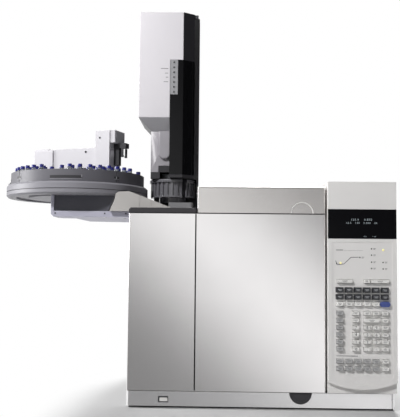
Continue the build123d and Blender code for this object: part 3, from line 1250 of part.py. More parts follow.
def make_tray_housing():
    """Box under the tray that holds the motors of the gantry."""
    low = PLATE_TOP
    box = front_view([(HOUSING_LEFT, low), (HOUSING_RIGHT_BOTTOM, low), (HOUSING_RIGHT_TOP, TRAY_BOTTOM),
                      (HOUSING_LEFT, TRAY_BOTTOM)], (HOUSING_FRONT, HOUSING_REAR))
    box -= rod_z(TRAY_X, TRAY_Y, (TRAY_BOTTOM - 20, TRAY_BOTTOM + OVER), SPINDLE_RADIUS + RUN)
    for slot in range(6):
        x = HOUSING_LEFT + 22 + slot * 16
        box -= block((x, x + 6), (HOUSING_REAR - OVER, HOUSING_REAR + OVER), (low + 8, TRAY_BOTTOM - 8))
    return box


def make_tray():
    """Round tray moulding: lower rim, a seam, the upper rim that the racks stand in, a boss."""
    x, y = TRAY_X, TRAY_Y
    seam = (TRAY_BOTTOM + TRAY_RING, TRAY_BOTTOM + TRAY_RING + TRAY_SEAM)
    tray = rod_z(x, y, (TRAY_BOTTOM, TRAY_DISC_TOP), TRAY_RADIUS)
    rims = tray.edges().filter_by(GeomType.CIRCLE).group_by(Axis.Z)
    tray = chamfer(rims[0] + rims[-1], TRAY_LIP)
    tray -= rod_z(x, y, seam, TRAY_RADIUS + OVER) - rod_z(x, y, (seam[0] - OVER, seam[1] + OVER), TRAY_RADIUS - 3)
    groove = rod_z(x, y, (TRAY_BOTTOM - OVER, TRAY_BOTTOM + 4), TRAY_RADIUS - 22)
    groove -= rod_z(x, y, (TRAY_BOTTOM - 2 * OVER, TRAY_BOTTOM + 2 * OVER), TRAY_RADIUS - 52)
    seat = block((PLATE_LEFT - 2, HOUSING_RIGHT_TOP + 2), (0, 2 * TRAY_Y), (0, TRAY_BOTTOM + 2 * OVER))
    tray -= groove - seat
    tray += rod_z(x, y, (TRAY_DISC_TOP - 1, TRAY_DISC_TOP + 16), 34)
    return tray - rod_z(x, y, (TRAY_BOTTOM - OVER, TRAY_DISC_TOP + 5 * OVER), SPINDLE_RADIUS + RUN)


def well_places(rack):
    """Centres of the wells of one rack, with True where a vial stands in it."""
    places = []
    span = 360 / RACKS
    start = RACK_TURN + rack * span
    for row, (radius, count) in enumerate(ROWS):
        for place in range(count):
            degrees = start + span * (place + 0.5) / count
            dx, dy = polar(radius, degrees)
            filled = (row, place) not in SKIPPED and (rack, row, place) not in PARKED
            places.append((TRAY_X + dx, TRAY_Y + dy, degrees, filled))
    return places


def prism(x, y, degrees, z, radius):
    shape = Rot(0, 0, degrees) * RegularPolygon(radius, WELL_SIDES, major_radius=False)
    return extrude(Pos(x, y, z[0]) * shape, z[1] - z[0])


def make_racks():
    """Four quarter racks, each with three rows of wells."""
    racks = []
    span = 360 / RACKS
    for rack in range(RACKS):
        start = RACK_TURN + rack * span
        trim = math.degrees(RACK_GAP / 2 / RACK_RADIUS)
        a, b = start + trim, start + span - trim
        edges = Curve() + [
            Line(polar(RACK_INNER, a), polar(RACK_RADIUS, a)),
            ThreePointArc(polar(RACK_RADIUS, a), polar(RACK_RADIUS, (a + b) / 2), polar(RACK_RADIUS, b)),
            Line(polar(RACK_RADIUS, b), polar(RACK_INNER, b)),
            ThreePointArc(polar(RACK_INNER, b), polar(RACK_INNER, (a + b) / 2), polar(RACK_INNER, a)),
        ]
        body = extrude(Pos(TRAY_X, TRAY_Y, TRAY_DISC_TOP) * make_face(edges), RACK_TOP - TRAY_DISC_TOP)
        floor = RACK_TOP - WELL_DEPTH
        body -= [prism(x, y, t, (floor, RACK_TOP + OVER), WELL_RADIUS) for x, y, t, filled in well_places(rack)]
        racks.append(body)
    return racks


def filled_wells():
    """Centre and angle of every well that holds a vial."""
    return [place[:3] for rack in range(RACKS) for place in well_places(rack) if place[3]]


def make_vials():
    """Capped vials, each standing in its well."""
    span = (RACK_TOP - WELL_DEPTH + SEAT, RACK_TOP - WELL_DEPTH + SEAT + VIAL_HEIGHT + CAP_HEIGHT)
    return [prism(x, y, degrees, span, VIAL_RADIUS) for x, y, degrees in filled_wells()]


# ================================================================ gantry
GANTRY = Pos(TRAY_X, TRAY_Y, 0) * Rot(0, 0, GANTRY_TURN)


def make_gantry_arm():
    """Turning bar: an open sided channel on its spindle, slotted for the gripper."""
    half = BAR_WIDTH / 2
    bar = block((BAR_BACK, BAR_END), (-half, half), (BAR_BOTTOM, BAR_TOP))
    bar -= block((SPINDLE_RADIUS + 6, BAR_END + OVER), (-half + BAR_WALL, half - BAR_WALL),
                 (BAR_BOTTOM - OVER, BAR_TOP + OVER))
    bar += rod_z(0, 0, (TRAY_BOTTOM - 18, BAR_BOTTOM + 1), SPINDLE_RADIUS)
    cheek = side_view([(-half - 4, BAR_BOTTOM), (half + 4, BAR_BOTTOM), (half + 4, BAR_TOP - 4),
                       (half, BAR_TOP + 2), (-half, BAR_TOP + 2), (-half - 4, BAR_TOP - 4)],
                      (BAR_BACK, BAR_BACK + 52))
    cheek -= side_view([(-60, BAR_TOP - 2), (60, BAR_TOP - 2), (60, BAR_TOP + 20), (-60, BAR_TOP + 20)],
                       (BAR_BACK + 40, BAR_BACK + 60))
    return GANTRY * (bar + cheek)


def make_gripper_head():
    """Saddle that runs out along the bar, with the head and the rail of the gripper."""
    inner = BAR_WIDTH / 2 + SEAT
    outer = inner + SADDLE_WALL
    saddle = block((SADDLE_IN, SADDLE_OUT), (-outer, outer), (BAR_BOTTOM, SADDLE_TOP))
    saddle -= block((SADDLE_IN - OVER, SADDLE_OUT + OVER), (-inner, inner), (BAR_BOTTOM - OVER, BAR_TOP + SEAT))
    head = block((SADDLE_OUT - 1, HEAD_OUT), (-outer + 4, outer - 4), (HEAD_LOW, SADDLE_TOP + 1))
    head = chamfer(head.edges().filter_by(Axis.Z).group_by(Axis.X)[-1], 6)
    return GANTRY * (saddle + head)


def make_gripper_rail():
    """Black rail under the head that the gripper's block runs on."""
    return GANTRY * block((SADDLE_OUT + SEAT, SADDLE_OUT + 14), (-RAIL_WIDTH / 2, RAIL_WIDTH / 2),
                          (RAIL_LOW, HEAD_LOW))


def make_gripper_slide():
    """Block on the rail that carries the two fingers down to a vial."""
    wide = RAIL_WIDTH / 2 + SEAT
    body = block((SADDLE_OUT + 8, GRIP_RADIUS + 8), (-wide - 3, wide + 3), (GRIP_LOW + 22, HEAD_LOW - MOVE))
    body -= block((SADDLE_OUT, SADDLE_OUT + 14 + SEAT), (-wide, wide), (GRIP_LOW, HEAD_LOW + OVER))
    return GANTRY * body


def make_finger(side):
    """One finger under the slide, opening and closing across the arm."""
    near = side * FINGER_GAP
    far = side * (FINGER_GAP + FINGER_THICK)
    y = (min(near, far), max(near, far))
    finger = block((GRIP_RADIUS - FINGER_WIDTH / 2, GRIP_RADIUS + FINGER_WIDTH / 2), y,
                   (GRIP_LOW, GRIP_LOW + 22 - SEAT))
    inner = side * (FINGER_GAP - 2)
    tip = (min(inner, near), max(inner, near))
    finger += block((GRIP_RADIUS - FINGER_WIDTH / 2, GRIP_RADIUS + FINGER_WIDTH / 2), tip,
                    (GRIP_LOW, GRIP_LOW + 5))
    return GANTRY * finger


# ================================================================ all the nodes
NODES = {
    "chassis": make_chassis,
    "feet": make_feet,
    "left_side_panel": lambda: make_side_panel(0, 1, SIDE_FRONT),
    "right_side_panel": lambda: make_side_panel(CABINET_WIDTH, -1, KEYPAD_REAR + SEAT),
    "rear_panel": make_rear_panel,
    "top_deck": make_deck,
    "top_cover": make_top_cover,
    "detector_cover": make_detector_cover,
    "door_skin": make_door_skin,
    "door_inner_pan": make_door_pan,
    "door_seal": make_door_seal,
    "door_release": make_release,
    "power_switch": make_power_switch,
    "oven_liner": make_oven_liner,
    "oven_insulation": make_insulation,
    "fan_shroud": make_shroud,
    "heater_coil": make_heater,
    "oven_fan": make_fan,
    "fan_motor": make_motor,
    "exhaust_duct": make_duct,
    "vent_flap": make_flap,
    "column_cage": make_column_cage,
    "capillary_column": make_column,
    "front_inlet": make_inlet,
    "detector": make_detector,
    "keypad_housing": make_keypad_housing,
    "display_window": make_display,
    "info_key": lambda: oval_key(*BLUE_KEY),
    "electronics": lambda: [make_main_board(), make_power_supply()],
    "gas_fittings": lambda: [make_flow_manifold()] + make_gas_fittings(),
    "mains_inlet": make_mains_inlet,
    "tower_body": make_tower_body,
    "tower_face": make_tower_face,
    "tower_neck": make_tower_neck,
    "light_strip": make_light_strip,
    "syringe_door": make_syringe_door,
    "tower_rods": lambda: make_guide_rods() + [make_turret_axle()],
    "syringe_carriage": make_syringe_carriage,
    "syringe_barrel": make_syringe_barrel,
    "plunger": make_plunger,
    "turret": make_turret,
    "inlet_pedestal": make_pedestal,
    "bracket_arm": make_arm,
    "carrier_plate": make_plate,
    "tray_housing": make_tray_housing,
    "tray": make_tray,
    "vial_racks": make_racks,
    "vials": make_vials,
    "gantry_arm": make_gantry_arm,
    "gripper_head": make_gripper_head,
    "gripper_rail": make_gripper_rail,
    "gripper_slide": make_gripper_slide,
    "left_finger": lambda: make_finger(1),
    "right_finger": lambda: make_finger(-1),
}
for key_node, keys_in_node in key_places().items():
    NODES[key_node] = lambda keys=keys_in_node: [key_cap(*key) for key in keys]


def as_node(shape):
    """One shape, or a group of separate solids, moved to the footprint's centre."""
    if isinstance(shape, list):
        return Compound([FOOTPRINT * piece for piece in shape])
    return FOOTPRINT * shape


os.makedirs("parts", exist_ok=True)
for node_name, make in NODES.items():
    export_step(as_node(make()), f"parts/{node_name}.step")
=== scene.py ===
# %% [markdown]
# # A bench gas chromatograph, dressed for the studio
# The instrument arrives as a frame of exact solids: cabinet, oven door, keypad module, injector
# tower, vial tray and gantry. This script leaves those solids where they are, gives each a finish,
# and models the small pieces that carry the look: capped vials, lamps, digits, screws and seams.

# %% Load the frame
import bmesh
import bpy
import json
import math
from mathutils import Matrix, Vector


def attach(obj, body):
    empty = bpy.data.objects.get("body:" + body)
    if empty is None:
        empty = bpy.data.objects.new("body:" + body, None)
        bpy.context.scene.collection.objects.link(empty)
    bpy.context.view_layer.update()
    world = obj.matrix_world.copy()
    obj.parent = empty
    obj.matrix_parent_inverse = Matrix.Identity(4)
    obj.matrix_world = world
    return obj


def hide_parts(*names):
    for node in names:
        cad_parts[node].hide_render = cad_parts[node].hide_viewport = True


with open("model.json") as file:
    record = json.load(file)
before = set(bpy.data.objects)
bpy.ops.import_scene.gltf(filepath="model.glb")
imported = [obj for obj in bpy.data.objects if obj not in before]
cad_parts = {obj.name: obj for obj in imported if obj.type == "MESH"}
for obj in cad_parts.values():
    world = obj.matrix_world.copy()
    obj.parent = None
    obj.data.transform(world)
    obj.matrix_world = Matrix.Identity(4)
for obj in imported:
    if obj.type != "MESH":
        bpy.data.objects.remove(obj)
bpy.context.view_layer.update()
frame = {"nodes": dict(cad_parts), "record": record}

NODES = frame["nodes"]

# %% [markdown]
# ## One set of numbers for places
# Drawings of the instrument count millimetres from the lower left front corner of the oven door.
# The frame counts metres from the middle of the footprint. One small function turns the first
# into the second, so every number below can be read as a plain measurement on the cabinet.

# %% Millimetres to the frame
ORIGIN = Vector((-0.13525, -0.2705, 0.005))


def mm(x, y, z):
    return ORIGIN + Vector((x, y, z)) * 0.001


print("door corner", mm(0, 0, 0))

# %% [markdown]
# ## Surface grain
# Moulded plastic, satin paint and ground steel are never one flat colour. Every finish shares one
# node group: a slow cloud shifts the colour a little, a finer one shifts the gloss, and a very
# fine one becomes a bump. The group puts out a colour, a roughness and a normal, and each
# material keeps its own shader with its own fixed numbers.

# %% Surface grain group
def new_socket(group, name, kind, way, value=None):
    made = group.interface.new_socket(name=name, in_out=way, socket_type=kind)
    if value is not None:
        made.default_value = value


def make_surface_group():
    group = bpy.data.node_groups.new("surface_grain", "ShaderNodeTree")
    new_socket(group, "Colour", "NodeSocketColor", "INPUT", (0.5, 0.5, 0.5, 1))
    new_socket(group, "Shade Spread", "NodeSocketFloat", "INPUT", 0.06)
    new_socket(group, "Cloud Scale", "NodeSocketFloat", "INPUT", 14.0)
    new_socket(group, "Roughness", "NodeSocketFloat", "INPUT", 0.5)
    new_socket(group, "Gloss Spread", "NodeSocketFloat", "INPUT", 0.08)
    new_socket(group, "Grain Scale", "NodeSocketFloat", "INPUT", 1800.0)
    new_socket(group, "Grain Depth", "NodeSocketFloat", "INPUT", 0.1)
    new_socket(group, "Stretch", "NodeSocketVector", "INPUT", (1, 1, 1))
    new_socket(group, "Colour", "NodeSocketColor", "OUTPUT")
    new_socket(group, "Roughness", "NodeSocketFloat", "OUTPUT")
    new_socket(group, "Normal", "NodeSocketVector", "OUTPUT")
    nodes, links = group.nodes, group.links
    given = nodes.new("NodeGroupInput")
    put_out = nodes.new("NodeGroupOutput")
    place = nodes.new("ShaderNodeTexCoord")
    stretch = nodes.new("ShaderNodeVectorMath")
    stretch.operation = "MULTIPLY"
    cloud = nodes.new("ShaderNodeTexNoise")
    fine = nodes.new("ShaderNodeTexNoise")
    cloud.inputs["Detail"].default_value = 4
    fine.inputs["Detail"].default_value = 3
    swing = nodes.new("ShaderNodeMapRange")
    shade = nodes.new("ShaderNodeVectorMath")
    shade.operation = "SCALE"
    low = nodes.new("ShaderNodeMath")
    low.operation = "SUBTRACT"
    low.inputs[0].default_value = 1
    high = nodes.new("ShaderNodeMath")
    high.inputs[0].default_value = 1
    gloss = nodes.new("ShaderNodeMath")
    gloss.operation = "MULTIPLY_ADD"
    centred = nodes.new("ShaderNodeMath")
    centred.operation = "SUBTRACT"
    centred.inputs[1].default_value = 0.5
    bump = nodes.new("ShaderNodeBump")
    bump.inputs["Distance"].default_value = 0.0002
    links.new(place.outputs["Object"], stretch.inputs[0])
    links.new(given.outputs["Stretch"], stretch.inputs[1])
    links.new(stretch.outputs[0], cloud.inputs["Vector"])
    links.new(given.outputs["Cloud Scale"], cloud.inputs["Scale"])
    links.new(stretch.outputs[0], fine.inputs["Vector"])
    links.new(given.outputs["Grain Scale"], fine.inputs["Scale"])
    links.new(given.outputs["Shade Spread"], low.inputs[1])
    links.new(given.outputs["Shade Spread"], high.inputs[1])
    links.new(cloud.outputs["Fac"], swing.inputs["Value"])
    swing.inputs["From Min"].default_value = 0.3
    swing.inputs["From Max"].default_value = 0.7
    links.new(low.outputs[0], swing.inputs["To Min"])
    links.new(high.outputs[0], swing.inputs["To Max"])
    links.new(given.outputs["Colour"], shade.inputs[0])
    links.new(swing.outputs[0], shade.inputs["Scale"])
    links.new(shade.outputs[0], put_out.inputs["Colour"])
    links.new(fine.outputs["Fac"], centred.inputs[0])
    links.new(centred.outputs[0], gloss.inputs[0])
    links.new(given.outputs["Gloss Spread"], gloss.inputs[1])
    links.new(given.outputs["Roughness"], gloss.inputs[2])
    links.new(gloss.outputs[0], put_out.inputs["Roughness"])
    links.new(fine.outputs["Fac"], bump.inputs["Height"])
    links.new(given.outputs["Grain Depth"], bump.inputs["Strength"])
    links.new(bump.outputs[0], put_out.inputs["Normal"])
    return group


SURFACE = make_surface_group()
print("group", SURFACE.name, "sockets", len(SURFACE.interface.items_tree))

# %% [markdown]
# ## Turning a finish into a material
# A finish is a short list of numbers: colour, gloss, how metallic it is, how strong the grain is
# and whether the grain runs one way, as on ground steel. The helper below places the group in a
# new material and sets the shader's plain numbers on the shader itself.

# %% Finish helper
COAT_ROUGHNESS = 0.12


def finish(name, colour, rough, metal=0.0, spread=0.05, cloud=14, grain=1800, depth=0.1,
           gloss=0.1, stretch=(1, 1, 1), coat=0.0, specular=0.5):
    material = bpy.data.materials.new(name)
    material.use_nodes = True
    nodes, links = material.node_tree.nodes, material.node_tree.links
    shader = nodes["Principled BSDF"]
    shader.inputs["Metallic"].default_value = metal
    shader.inputs["Coat Weight"].default_value = coat
    shader.inputs["Coat Roughness"].default_value = COAT_ROUGHNESS
    shader.inputs["Specular IOR Level"].default_value = specular
    surface = nodes.new("ShaderNodeGroup")
    surface.node_tree = SURFACE
    surface.inputs["Colour"].default_value = (*colour, 1)
    surface.inputs["Shade Spread"].default_value = spread
    surface.inputs["Cloud Scale"].default_value = cloud
    surface.inputs["Roughness"].default_value = rough
    surface.inputs["Gloss Spread"].default_value = gloss
    surface.inputs["Grain Scale"].default_value = grain
    surface.inputs["Grain Depth"].default_value = depth
    surface.inputs["Stretch"].default_value = stretch
    links.new(surface.outputs["Colour"], shader.inputs["Base Color"])
    links.new(surface.outputs["Roughness"], shader.inputs["Roughness"])
    links.new(surface.outputs["Normal"], shader.inputs["Normal"])
    return material


def srgb(r, g, b):
    """Screen values from 0 to 255 as the linear colour that a shader takes."""
    return tuple(((v / 255 + 0.055) / 1.055) ** 2.4 if v > 10 else v / 255 / 12.92 for v in (r, g, b))


print("mid grey", srgb(128, 128, 128))

# %% [markdown]
# ## The finishes of the cabinet
# The door and the detector cover are silver paint: fine metal flake under a satin lacquer, so
# they mirror the room as one broad soft gradient. The rest of the cabinet is light grey paint and
# plastic, the deck under the injector is charcoal, and the display is black gloss.

# %% Cabinet finishes
SILVER = finish("silver_paint", srgb(243, 241, 241), 0.2, metal=0.97, spread=0.015, grain=2600,
                depth=0.02, gloss=0.05)
FINISHES = {
    "door_paint": SILVER,
    "cover_plastic": finish("cover_silver", srgb(222, 219, 217), 0.26, metal=0.9, spread=0.015,
                            grain=2600, depth=0.02),
    "cabinet_metal": finish("light_grey_paint", srgb(232, 231, 232), 0.24, metal=0.85, spread=0.015,
                            depth=0.03),
    # A darker copy of the cabinet's paint for the side and rear panels: painted shade against the lamp
    # behind.
    "flank_paint_shaded": finish("flank_paint_shaded", srgb(188, 187, 186), 0.5, metal=0.2, spread=0.02, grain=1800,
                          depth=0.1),
    "cabinet_plastic": finish("top_plastic", srgb(208, 206, 203), 0.5, spread=0.02, depth=0.12),
    "keypad_plastic": finish("keypad_plastic", srgb(221, 219, 217), 0.48, spread=0.02, grain=2200,
                             depth=0.12),
    "charcoal_metal": finish("deck_charcoal", srgb(44, 42, 45), 0.42, spread=0.06, depth=0.15),
    "foot_rubber": finish("foot_rubber", srgb(28, 28, 29), 0.8, spread=0.1, depth=0.2),
    "dark_plastic": finish("dark_plastic", srgb(42, 41, 45), 0.45, spread=0.08, depth=0.12),
    "display_gloss": finish("display_gloss", srgb(10, 10, 13), 0.12, spread=0.05, depth=0.01, gloss=0.03,
                            specular=0.12),
    "key_blue": finish("key_blue", srgb(66, 80, 140), 0.42, depth=0.08),
    "key_grey": finish("key_grey", srgb(222, 221, 218), 0.45, depth=0.08),
    "key_mid": finish("key_mid", srgb(170, 170, 170), 0.45, depth=0.08),
    "key_dark": finish("key_dark", srgb(50, 51, 55), 0.45, depth=0.08),
    "key_light": finish("key_light", srgb(234, 233, 230), 0.45, depth=0.08),
}
print("cabinet finishes", len(FINISHES))

# %% [markdown]
# ## The finishes of the tower, the tray and the works
# The tower's front is the door's silver with less metal in it; its body is charcoal plastic, and
# the syringe door is smoked gloss. The tray is grey engineering plastic. Behind the doors are
# steel, wool insulation, a green board and brass fittings.

# %% Tower, tray and inner finishes
FINISHES.update({
    "tower_silver": finish("tower_silver", srgb(211, 208, 212), 0.4, metal=0.5, spread=0.015, depth=0.05),
    "tower_charcoal": finish("tower_charcoal", srgb(38, 37, 41), 0.4, spread=0.05, depth=0.12),
    "neck_plastic": finish("neck_plastic", srgb(152, 149, 154), 0.36, spread=0.02, depth=0.06),
    "strip_grey": finish("strip_grey", srgb(150, 150, 152), 0.25, spread=0.03, depth=0.03),
    "smoked_plastic": finish("smoked_plastic", srgb(14, 14, 16), 0.14, spread=0.1, depth=0.02, gloss=0.05,
                             specular=0.2),
    "turret_plastic": finish("turret_plastic", srgb(100, 99, 104), 0.26, spread=0.08, depth=0.06, coat=0.7),
    "pedestal_metal": finish("pedestal_metal", srgb(128, 128, 130), 0.4, metal=0.5, depth=0.1),
    "bracket_paint": finish("bracket_paint", srgb(177, 174, 171), 0.45, metal=0.2, spread=0.03, depth=0.08),
    "plate_paint": finish("plate_paint", srgb(168, 167, 181), 0.45, metal=0.2, spread=0.03, depth=0.08),
    "charcoal_plastic": finish("charcoal_plastic", srgb(74, 74, 82), 0.5, spread=0.05, depth=0.15),
    "tray_plastic": finish("tray_plastic", srgb(126, 125, 131), 0.46, spread=0.03, depth=0.06),
    "rack_plastic": finish("rack_plastic", srgb(90, 89, 95), 0.46, spread=0.03, depth=0.06),
    "cap_navy": finish("cap_navy", srgb(40, 42, 118), 0.28, spread=0.1, depth=0.05, coat=0.4),
    "gantry_plastic": finish("gantry_plastic", srgb(199, 197, 201), 0.45, spread=0.015, depth=0.08),
    "liner_steel": finish("liner_steel", srgb(190, 190, 188), 0.32, metal=1.0, grain=900, depth=0.1,
                          stretch=(1, 1, 0.05)),
    "seal_fibre": finish("seal_fibre", srgb(206, 200, 182), 0.9, spread=0.15, grain=500, depth=0.8),
    "insulation_wool": finish("insulation_wool", srgb(216, 206, 168), 0.95, spread=0.2, grain=300,
                              depth=1.0),
    "heater_alloy": finish("heater_alloy", srgb(112, 98, 88), 0.5, metal=0.9, spread=0.3, depth=0.2),
    "fan_steel": finish("fan_steel", srgb(186, 186, 186), 0.3, metal=1.0, depth=0.1),
    "motor_metal": finish("motor_metal", srgb(168, 168, 170), 0.45, metal=0.9, depth=0.4, grain=700),
    "duct_metal": finish("duct_metal", srgb(184, 186, 188), 0.35, metal=1.0, spread=0.2, cloud=60),
    "column_coat": finish("column_coat", srgb(150, 92, 40), 0.3, spread=0.2, grain=900, depth=0.5,
                          stretch=(1, 4, 1)),
    "inlet_steel": finish("inlet_steel", srgb(196, 196, 196), 0.25, metal=1.0, grain=900, stretch=(1, 1,
                          6)),
    "board_green": finish("board_green", srgb(34, 92, 58), 0.4, spread=0.3, cloud=120),
    "fitting_brass": finish("fitting_brass", srgb(206, 172, 100), 0.28, metal=1.0, depth=0.1),
    "rod_steel": finish("rod_steel", srgb(196, 196, 198), 0.22, metal=1.0, grain=1200, stretch=(1, 1,
                        0.05)),
    "carriage_aluminium": finish("carriage_aluminium", srgb(182, 183, 186), 0.38, metal=1.0, depth=0.15),
})
print("finishes", len(FINISHES))

# %% [markdown]
# ## Glass
# The syringe barrel and the vials are clear borosilicate. Glass keeps a plain transmission weight,
# and only its roughness varies, very slightly, with handling marks.

# %% Glass
def make_glass(name, colour, rough):
    material = finish(name, colour, rough, spread=0.02, gloss=0.04, depth=0.01)
    shader = material.node_tree.nodes["Principled BSDF"]
    shader.inputs["Transmission Weight"].default_value = 0.92
    shader.inputs["IOR"].default_value = 1.47
    return material


FINISHES["syringe_glass"] = make_glass("clear_glass", (0.92, 0.95, 0.95), 0.05)
FINISHES["vial_glass"] = make_glass("vial_glass", (0.82, 0.88, 0.94), 0.08)
print("glass ready")

# %% [markdown]
# ## Print, lamps and figures
# Printing is thin and matt. Lamps that are off are dark domes, lit ones and the figures on the
# display glow with a little strength of their own.

# %% Print and glow
def make_glow(name, colour, strength):
    material = finish(name, colour, 0.4, spread=0.1, depth=0.02)
    shader = material.node_tree.nodes["Principled BSDF"]
    shader.inputs["Emission Color"].default_value = (*colour, 1)
    shader.inputs["Emission Strength"].default_value = strength
    return material


FINISHES.update({
    "print_grey": finish("print_grey", srgb(96, 96, 98), 0.6, spread=0.1, depth=0.05),
    "print_pale": finish("print_pale", srgb(186, 188, 190), 0.6, spread=0.1, depth=0.05),
    # A flat black for painted shade: the door groove's floor and the contact shadow under the base.
    "shade_black": finish("shade_black", srgb(20, 19, 20), 0.8, spread=0.2, depth=0.1, specular=0.1),
    "cap_disc": finish("cap_disc", srgb(150, 150, 160), 0.6, spread=0.1, depth=0.1),
    # A darker copy of the tower's silver: painted shade for the shoulder's downward face.
    "shoulder_silver_shaded": finish("shoulder_silver_shaded", srgb(158, 157, 161), 0.4, metal=0.2, spread=0.03,
                              depth=0.05),
    "collar_grey": finish("collar_grey", srgb(186, 186, 190), 0.4, spread=0.03, depth=0.05),
    # Near-white for the strip on the tower's right side: a painted highlight of light from behind.
    "side_highlight_paint": finish("side_highlight_paint", srgb(196, 196, 199), 0.35, spread=0.03, depth=0.05),
    "lamp_off": finish("lamp_off", srgb(34, 38, 36), 0.25, spread=0.1, depth=0.03),
    "lamp_lit": make_glow("lamp_lit", srgb(240, 228, 150), 0.5),
    "figure_glow": make_glow("figure_glow", srgb(150, 160, 164), 0.35),
})
print("print ready")

# %% [markdown]
# ## Dressing the frame's own pieces
# Each node already names the finish it takes in the record. Walking that table puts the right
# material on every solid, and a missing name stops the script at once.

# %% Materials on the frame
# The side and rear panels take the darker copy of the paint, painted shade that keeps them from going white.
SHADED_FLANKS = ("left_side_panel", "right_side_panel", "rear_panel")
for entry in frame["record"]["subparts"]:
    material = FINISHES["flank_paint_shaded" if entry["node"] in SHADED_FLANKS else entry["material_slot"]]
    for slot in NODES[entry["node"]].material_slots:
        slot.material = material

# %% [markdown]
# ## Tools for the small pieces
# Each small piece starts as an empty mesh, takes a few blocks, discs or bands, and is handed over
# once: it gets a finish and rides a body of the frame. Places are in millimetres on the cabinet, the
# same numbers that the drawings use.

# %% Piece tools
def hand_over(name, shape, finishes, body, replaced=()):
    mesh = bpy.data.meshes.new(name)
    bmesh.ops.recalc_face_normals(shape, faces=shape.faces)
    shape.to_mesh(mesh)
    shape.free()
    for material in finishes:
        mesh.materials.append(material)
    piece = bpy.data.objects.new(name, mesh)
    bpy.context.scene.collection.objects.link(piece)
    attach(piece, body)
    if replaced:
        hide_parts(*replaced)


def faces_of(verts):
    return list({face for vert in verts for face in vert.link_faces})


def edges_of(verts):
    return list({edge for vert in verts for edge in vert.link_edges})


def add_block(shape, low, high, soft=0.0, finish_index=0, turn=None):
    """A block between two corners, with its edges rounded by soft millimetres."""
    a, b = mm(*low), mm(*high)
    middle = (a + b) / 2
    frame_of = Matrix.Translation(middle) @ (turn or Matrix.Identity(4)) @ Matrix.Diagonal((*(b - a), 1))
    verts = bmesh.ops.create_cube(shape, size=1, matrix=frame_of)["verts"]
    for face in faces_of(verts):
        face.material_index = finish_index
    if soft:
        bmesh.ops.bevel(shape, geom=edges_of(verts), affect="EDGES", offset=soft * 0.001, segments=2,
                        profile=0.5, material=-1)


TOWARDS = {"front": Matrix.Rotation(math.radians(90), 4, "X"), "up": Matrix.Identity(4),
           "down": Matrix.Rotation(math.radians(180), 4, "X")}


def add_disc(shape, centre, radius, thick, towards="front", sides=16, soft=0.0, tip=None, finish_index=0):
    """A round pad, its outer face towards one side; tip is the outer face's radius where it tapers."""
    outer = radius if tip is None else tip
    place = Matrix.Translation(mm(*centre)) @ TOWARDS[towards]
    verts = bmesh.ops.create_cone(shape, cap_ends=True, segments=sides, radius1=radius * 0.001,
                                  radius2=outer * 0.001, depth=thick * 0.001, matrix=place)["verts"]
    for face in faces_of(verts):
        face.material_index = finish_index
    if soft:
        rims = [edge for edge in edges_of(verts) if len(edge.link_faces) == 2
                and any(len(face.verts) == sides for face in edge.link_faces)]
        bmesh.ops.bevel(shape, geom=rims, affect="EDGES", offset=soft * 0.001, segments=2, profile=0.5,
                        material=-1)
    return verts


def add_band(shape, centre, radius, z, thick, degrees, steps):
    """A curved strip round an upright axis, from one angle to another."""
    turn = Matrix.Rotation(math.radians(degrees[0]), 4, "Z")
    axis = mm(centre[0], centre[1], 0)
    seat = Matrix.Translation(axis) @ turn @ Matrix.Translation(
        (radius * 0.001, 0, (z[0] + z[1]) * 0.0005)) @ Matrix.Rotation(math.radians(90), 4, "X")
    size = Matrix.Diagonal((thick * 0.001, (z[1] - z[0]) * 0.001, 1, 1))
    grid = bmesh.ops.create_grid(shape, x_segments=1, y_segments=1, size=0.5, matrix=seat @ size)["verts"]
    geometry = grid + edges_of(grid) + faces_of(grid)
    bmesh.ops.spin(shape, geom=geometry, cent=axis, axis=(0, 0, 1), steps=steps, use_merge=False,
                   angle=math.radians(degrees[1] - degrees[0]))


def soften(node, width, slot, name, front=None):
    """A copy of a frame piece with its hard edges rounded, which shows in the piece's place."""
    shape = bmesh.new()
    shape.from_mesh(NODES[node].data)
    if front is not None:
        for vert in shape.verts:
            vert.co.y = max(vert.co.y, front)
    bmesh.ops.remove_doubles(shape, verts=shape.verts, dist=0.00001)
    bmesh.ops.dissolve_limit(shape, angle_limit=math.radians(1), verts=shape.verts, edges=shape.edges)
    hard = [edge for edge in shape.edges if len(edge.link_faces) == 2
            and edge.calc_face_angle(0) > math.radians(25)]
    bmesh.ops.bevel(shape, geom=hard, affect="EDGES", offset=width * 0.001, segments=2, profile=0.5,
                    clamp_overlap=True, material=-1)
    body = next(body for body, nodes in frame["record"]["behaviour"]["bodies"].items() if node in nodes)
    hand_over(name, shape, [FINISHES[slot]], body, (node,))


print("tools ready")

# %% [markdown]
# ## Capped vials
# Each filled well holds a clear vial with a shoulder and a crimped navy cap, its soft disc showing
# through the hole in the top. The wells follow the racks: four quarters, three rows each.

# %% Vial places
TRAY_CENTRE = (-145, 176)
RACK_TURN, RACKS = -47.125, 4
VIAL_ROWS = ((146, 10), (123, 8), (100, 7))
EMPTY = {(0, 3), (0, 4), (1, 2), (1, 5), (2, 2), (2, 3)}
PARKED = (1, 0, 9)
VIAL_FOOT, VIAL_SHOULDER, CAP_FOOT, CAP_TOP = 498.3, 520.5, 524.2, 530.8


def vial_places():
    span = 360 / RACKS
    for rack in range(RACKS):
        for row, (radius, count) in enumerate(VIAL_ROWS):
            for place in range(count):
                if (row, place) in EMPTY or (rack, row, place) == PARKED:
                    continue
                angle = math.radians(RACK_TURN + span * (rack + (place + 0.5) / count))
                yield TRAY_CENTRE[0] + radius * math.cos(angle), TRAY_CENTRE[1] + radius * math.sin(angle)


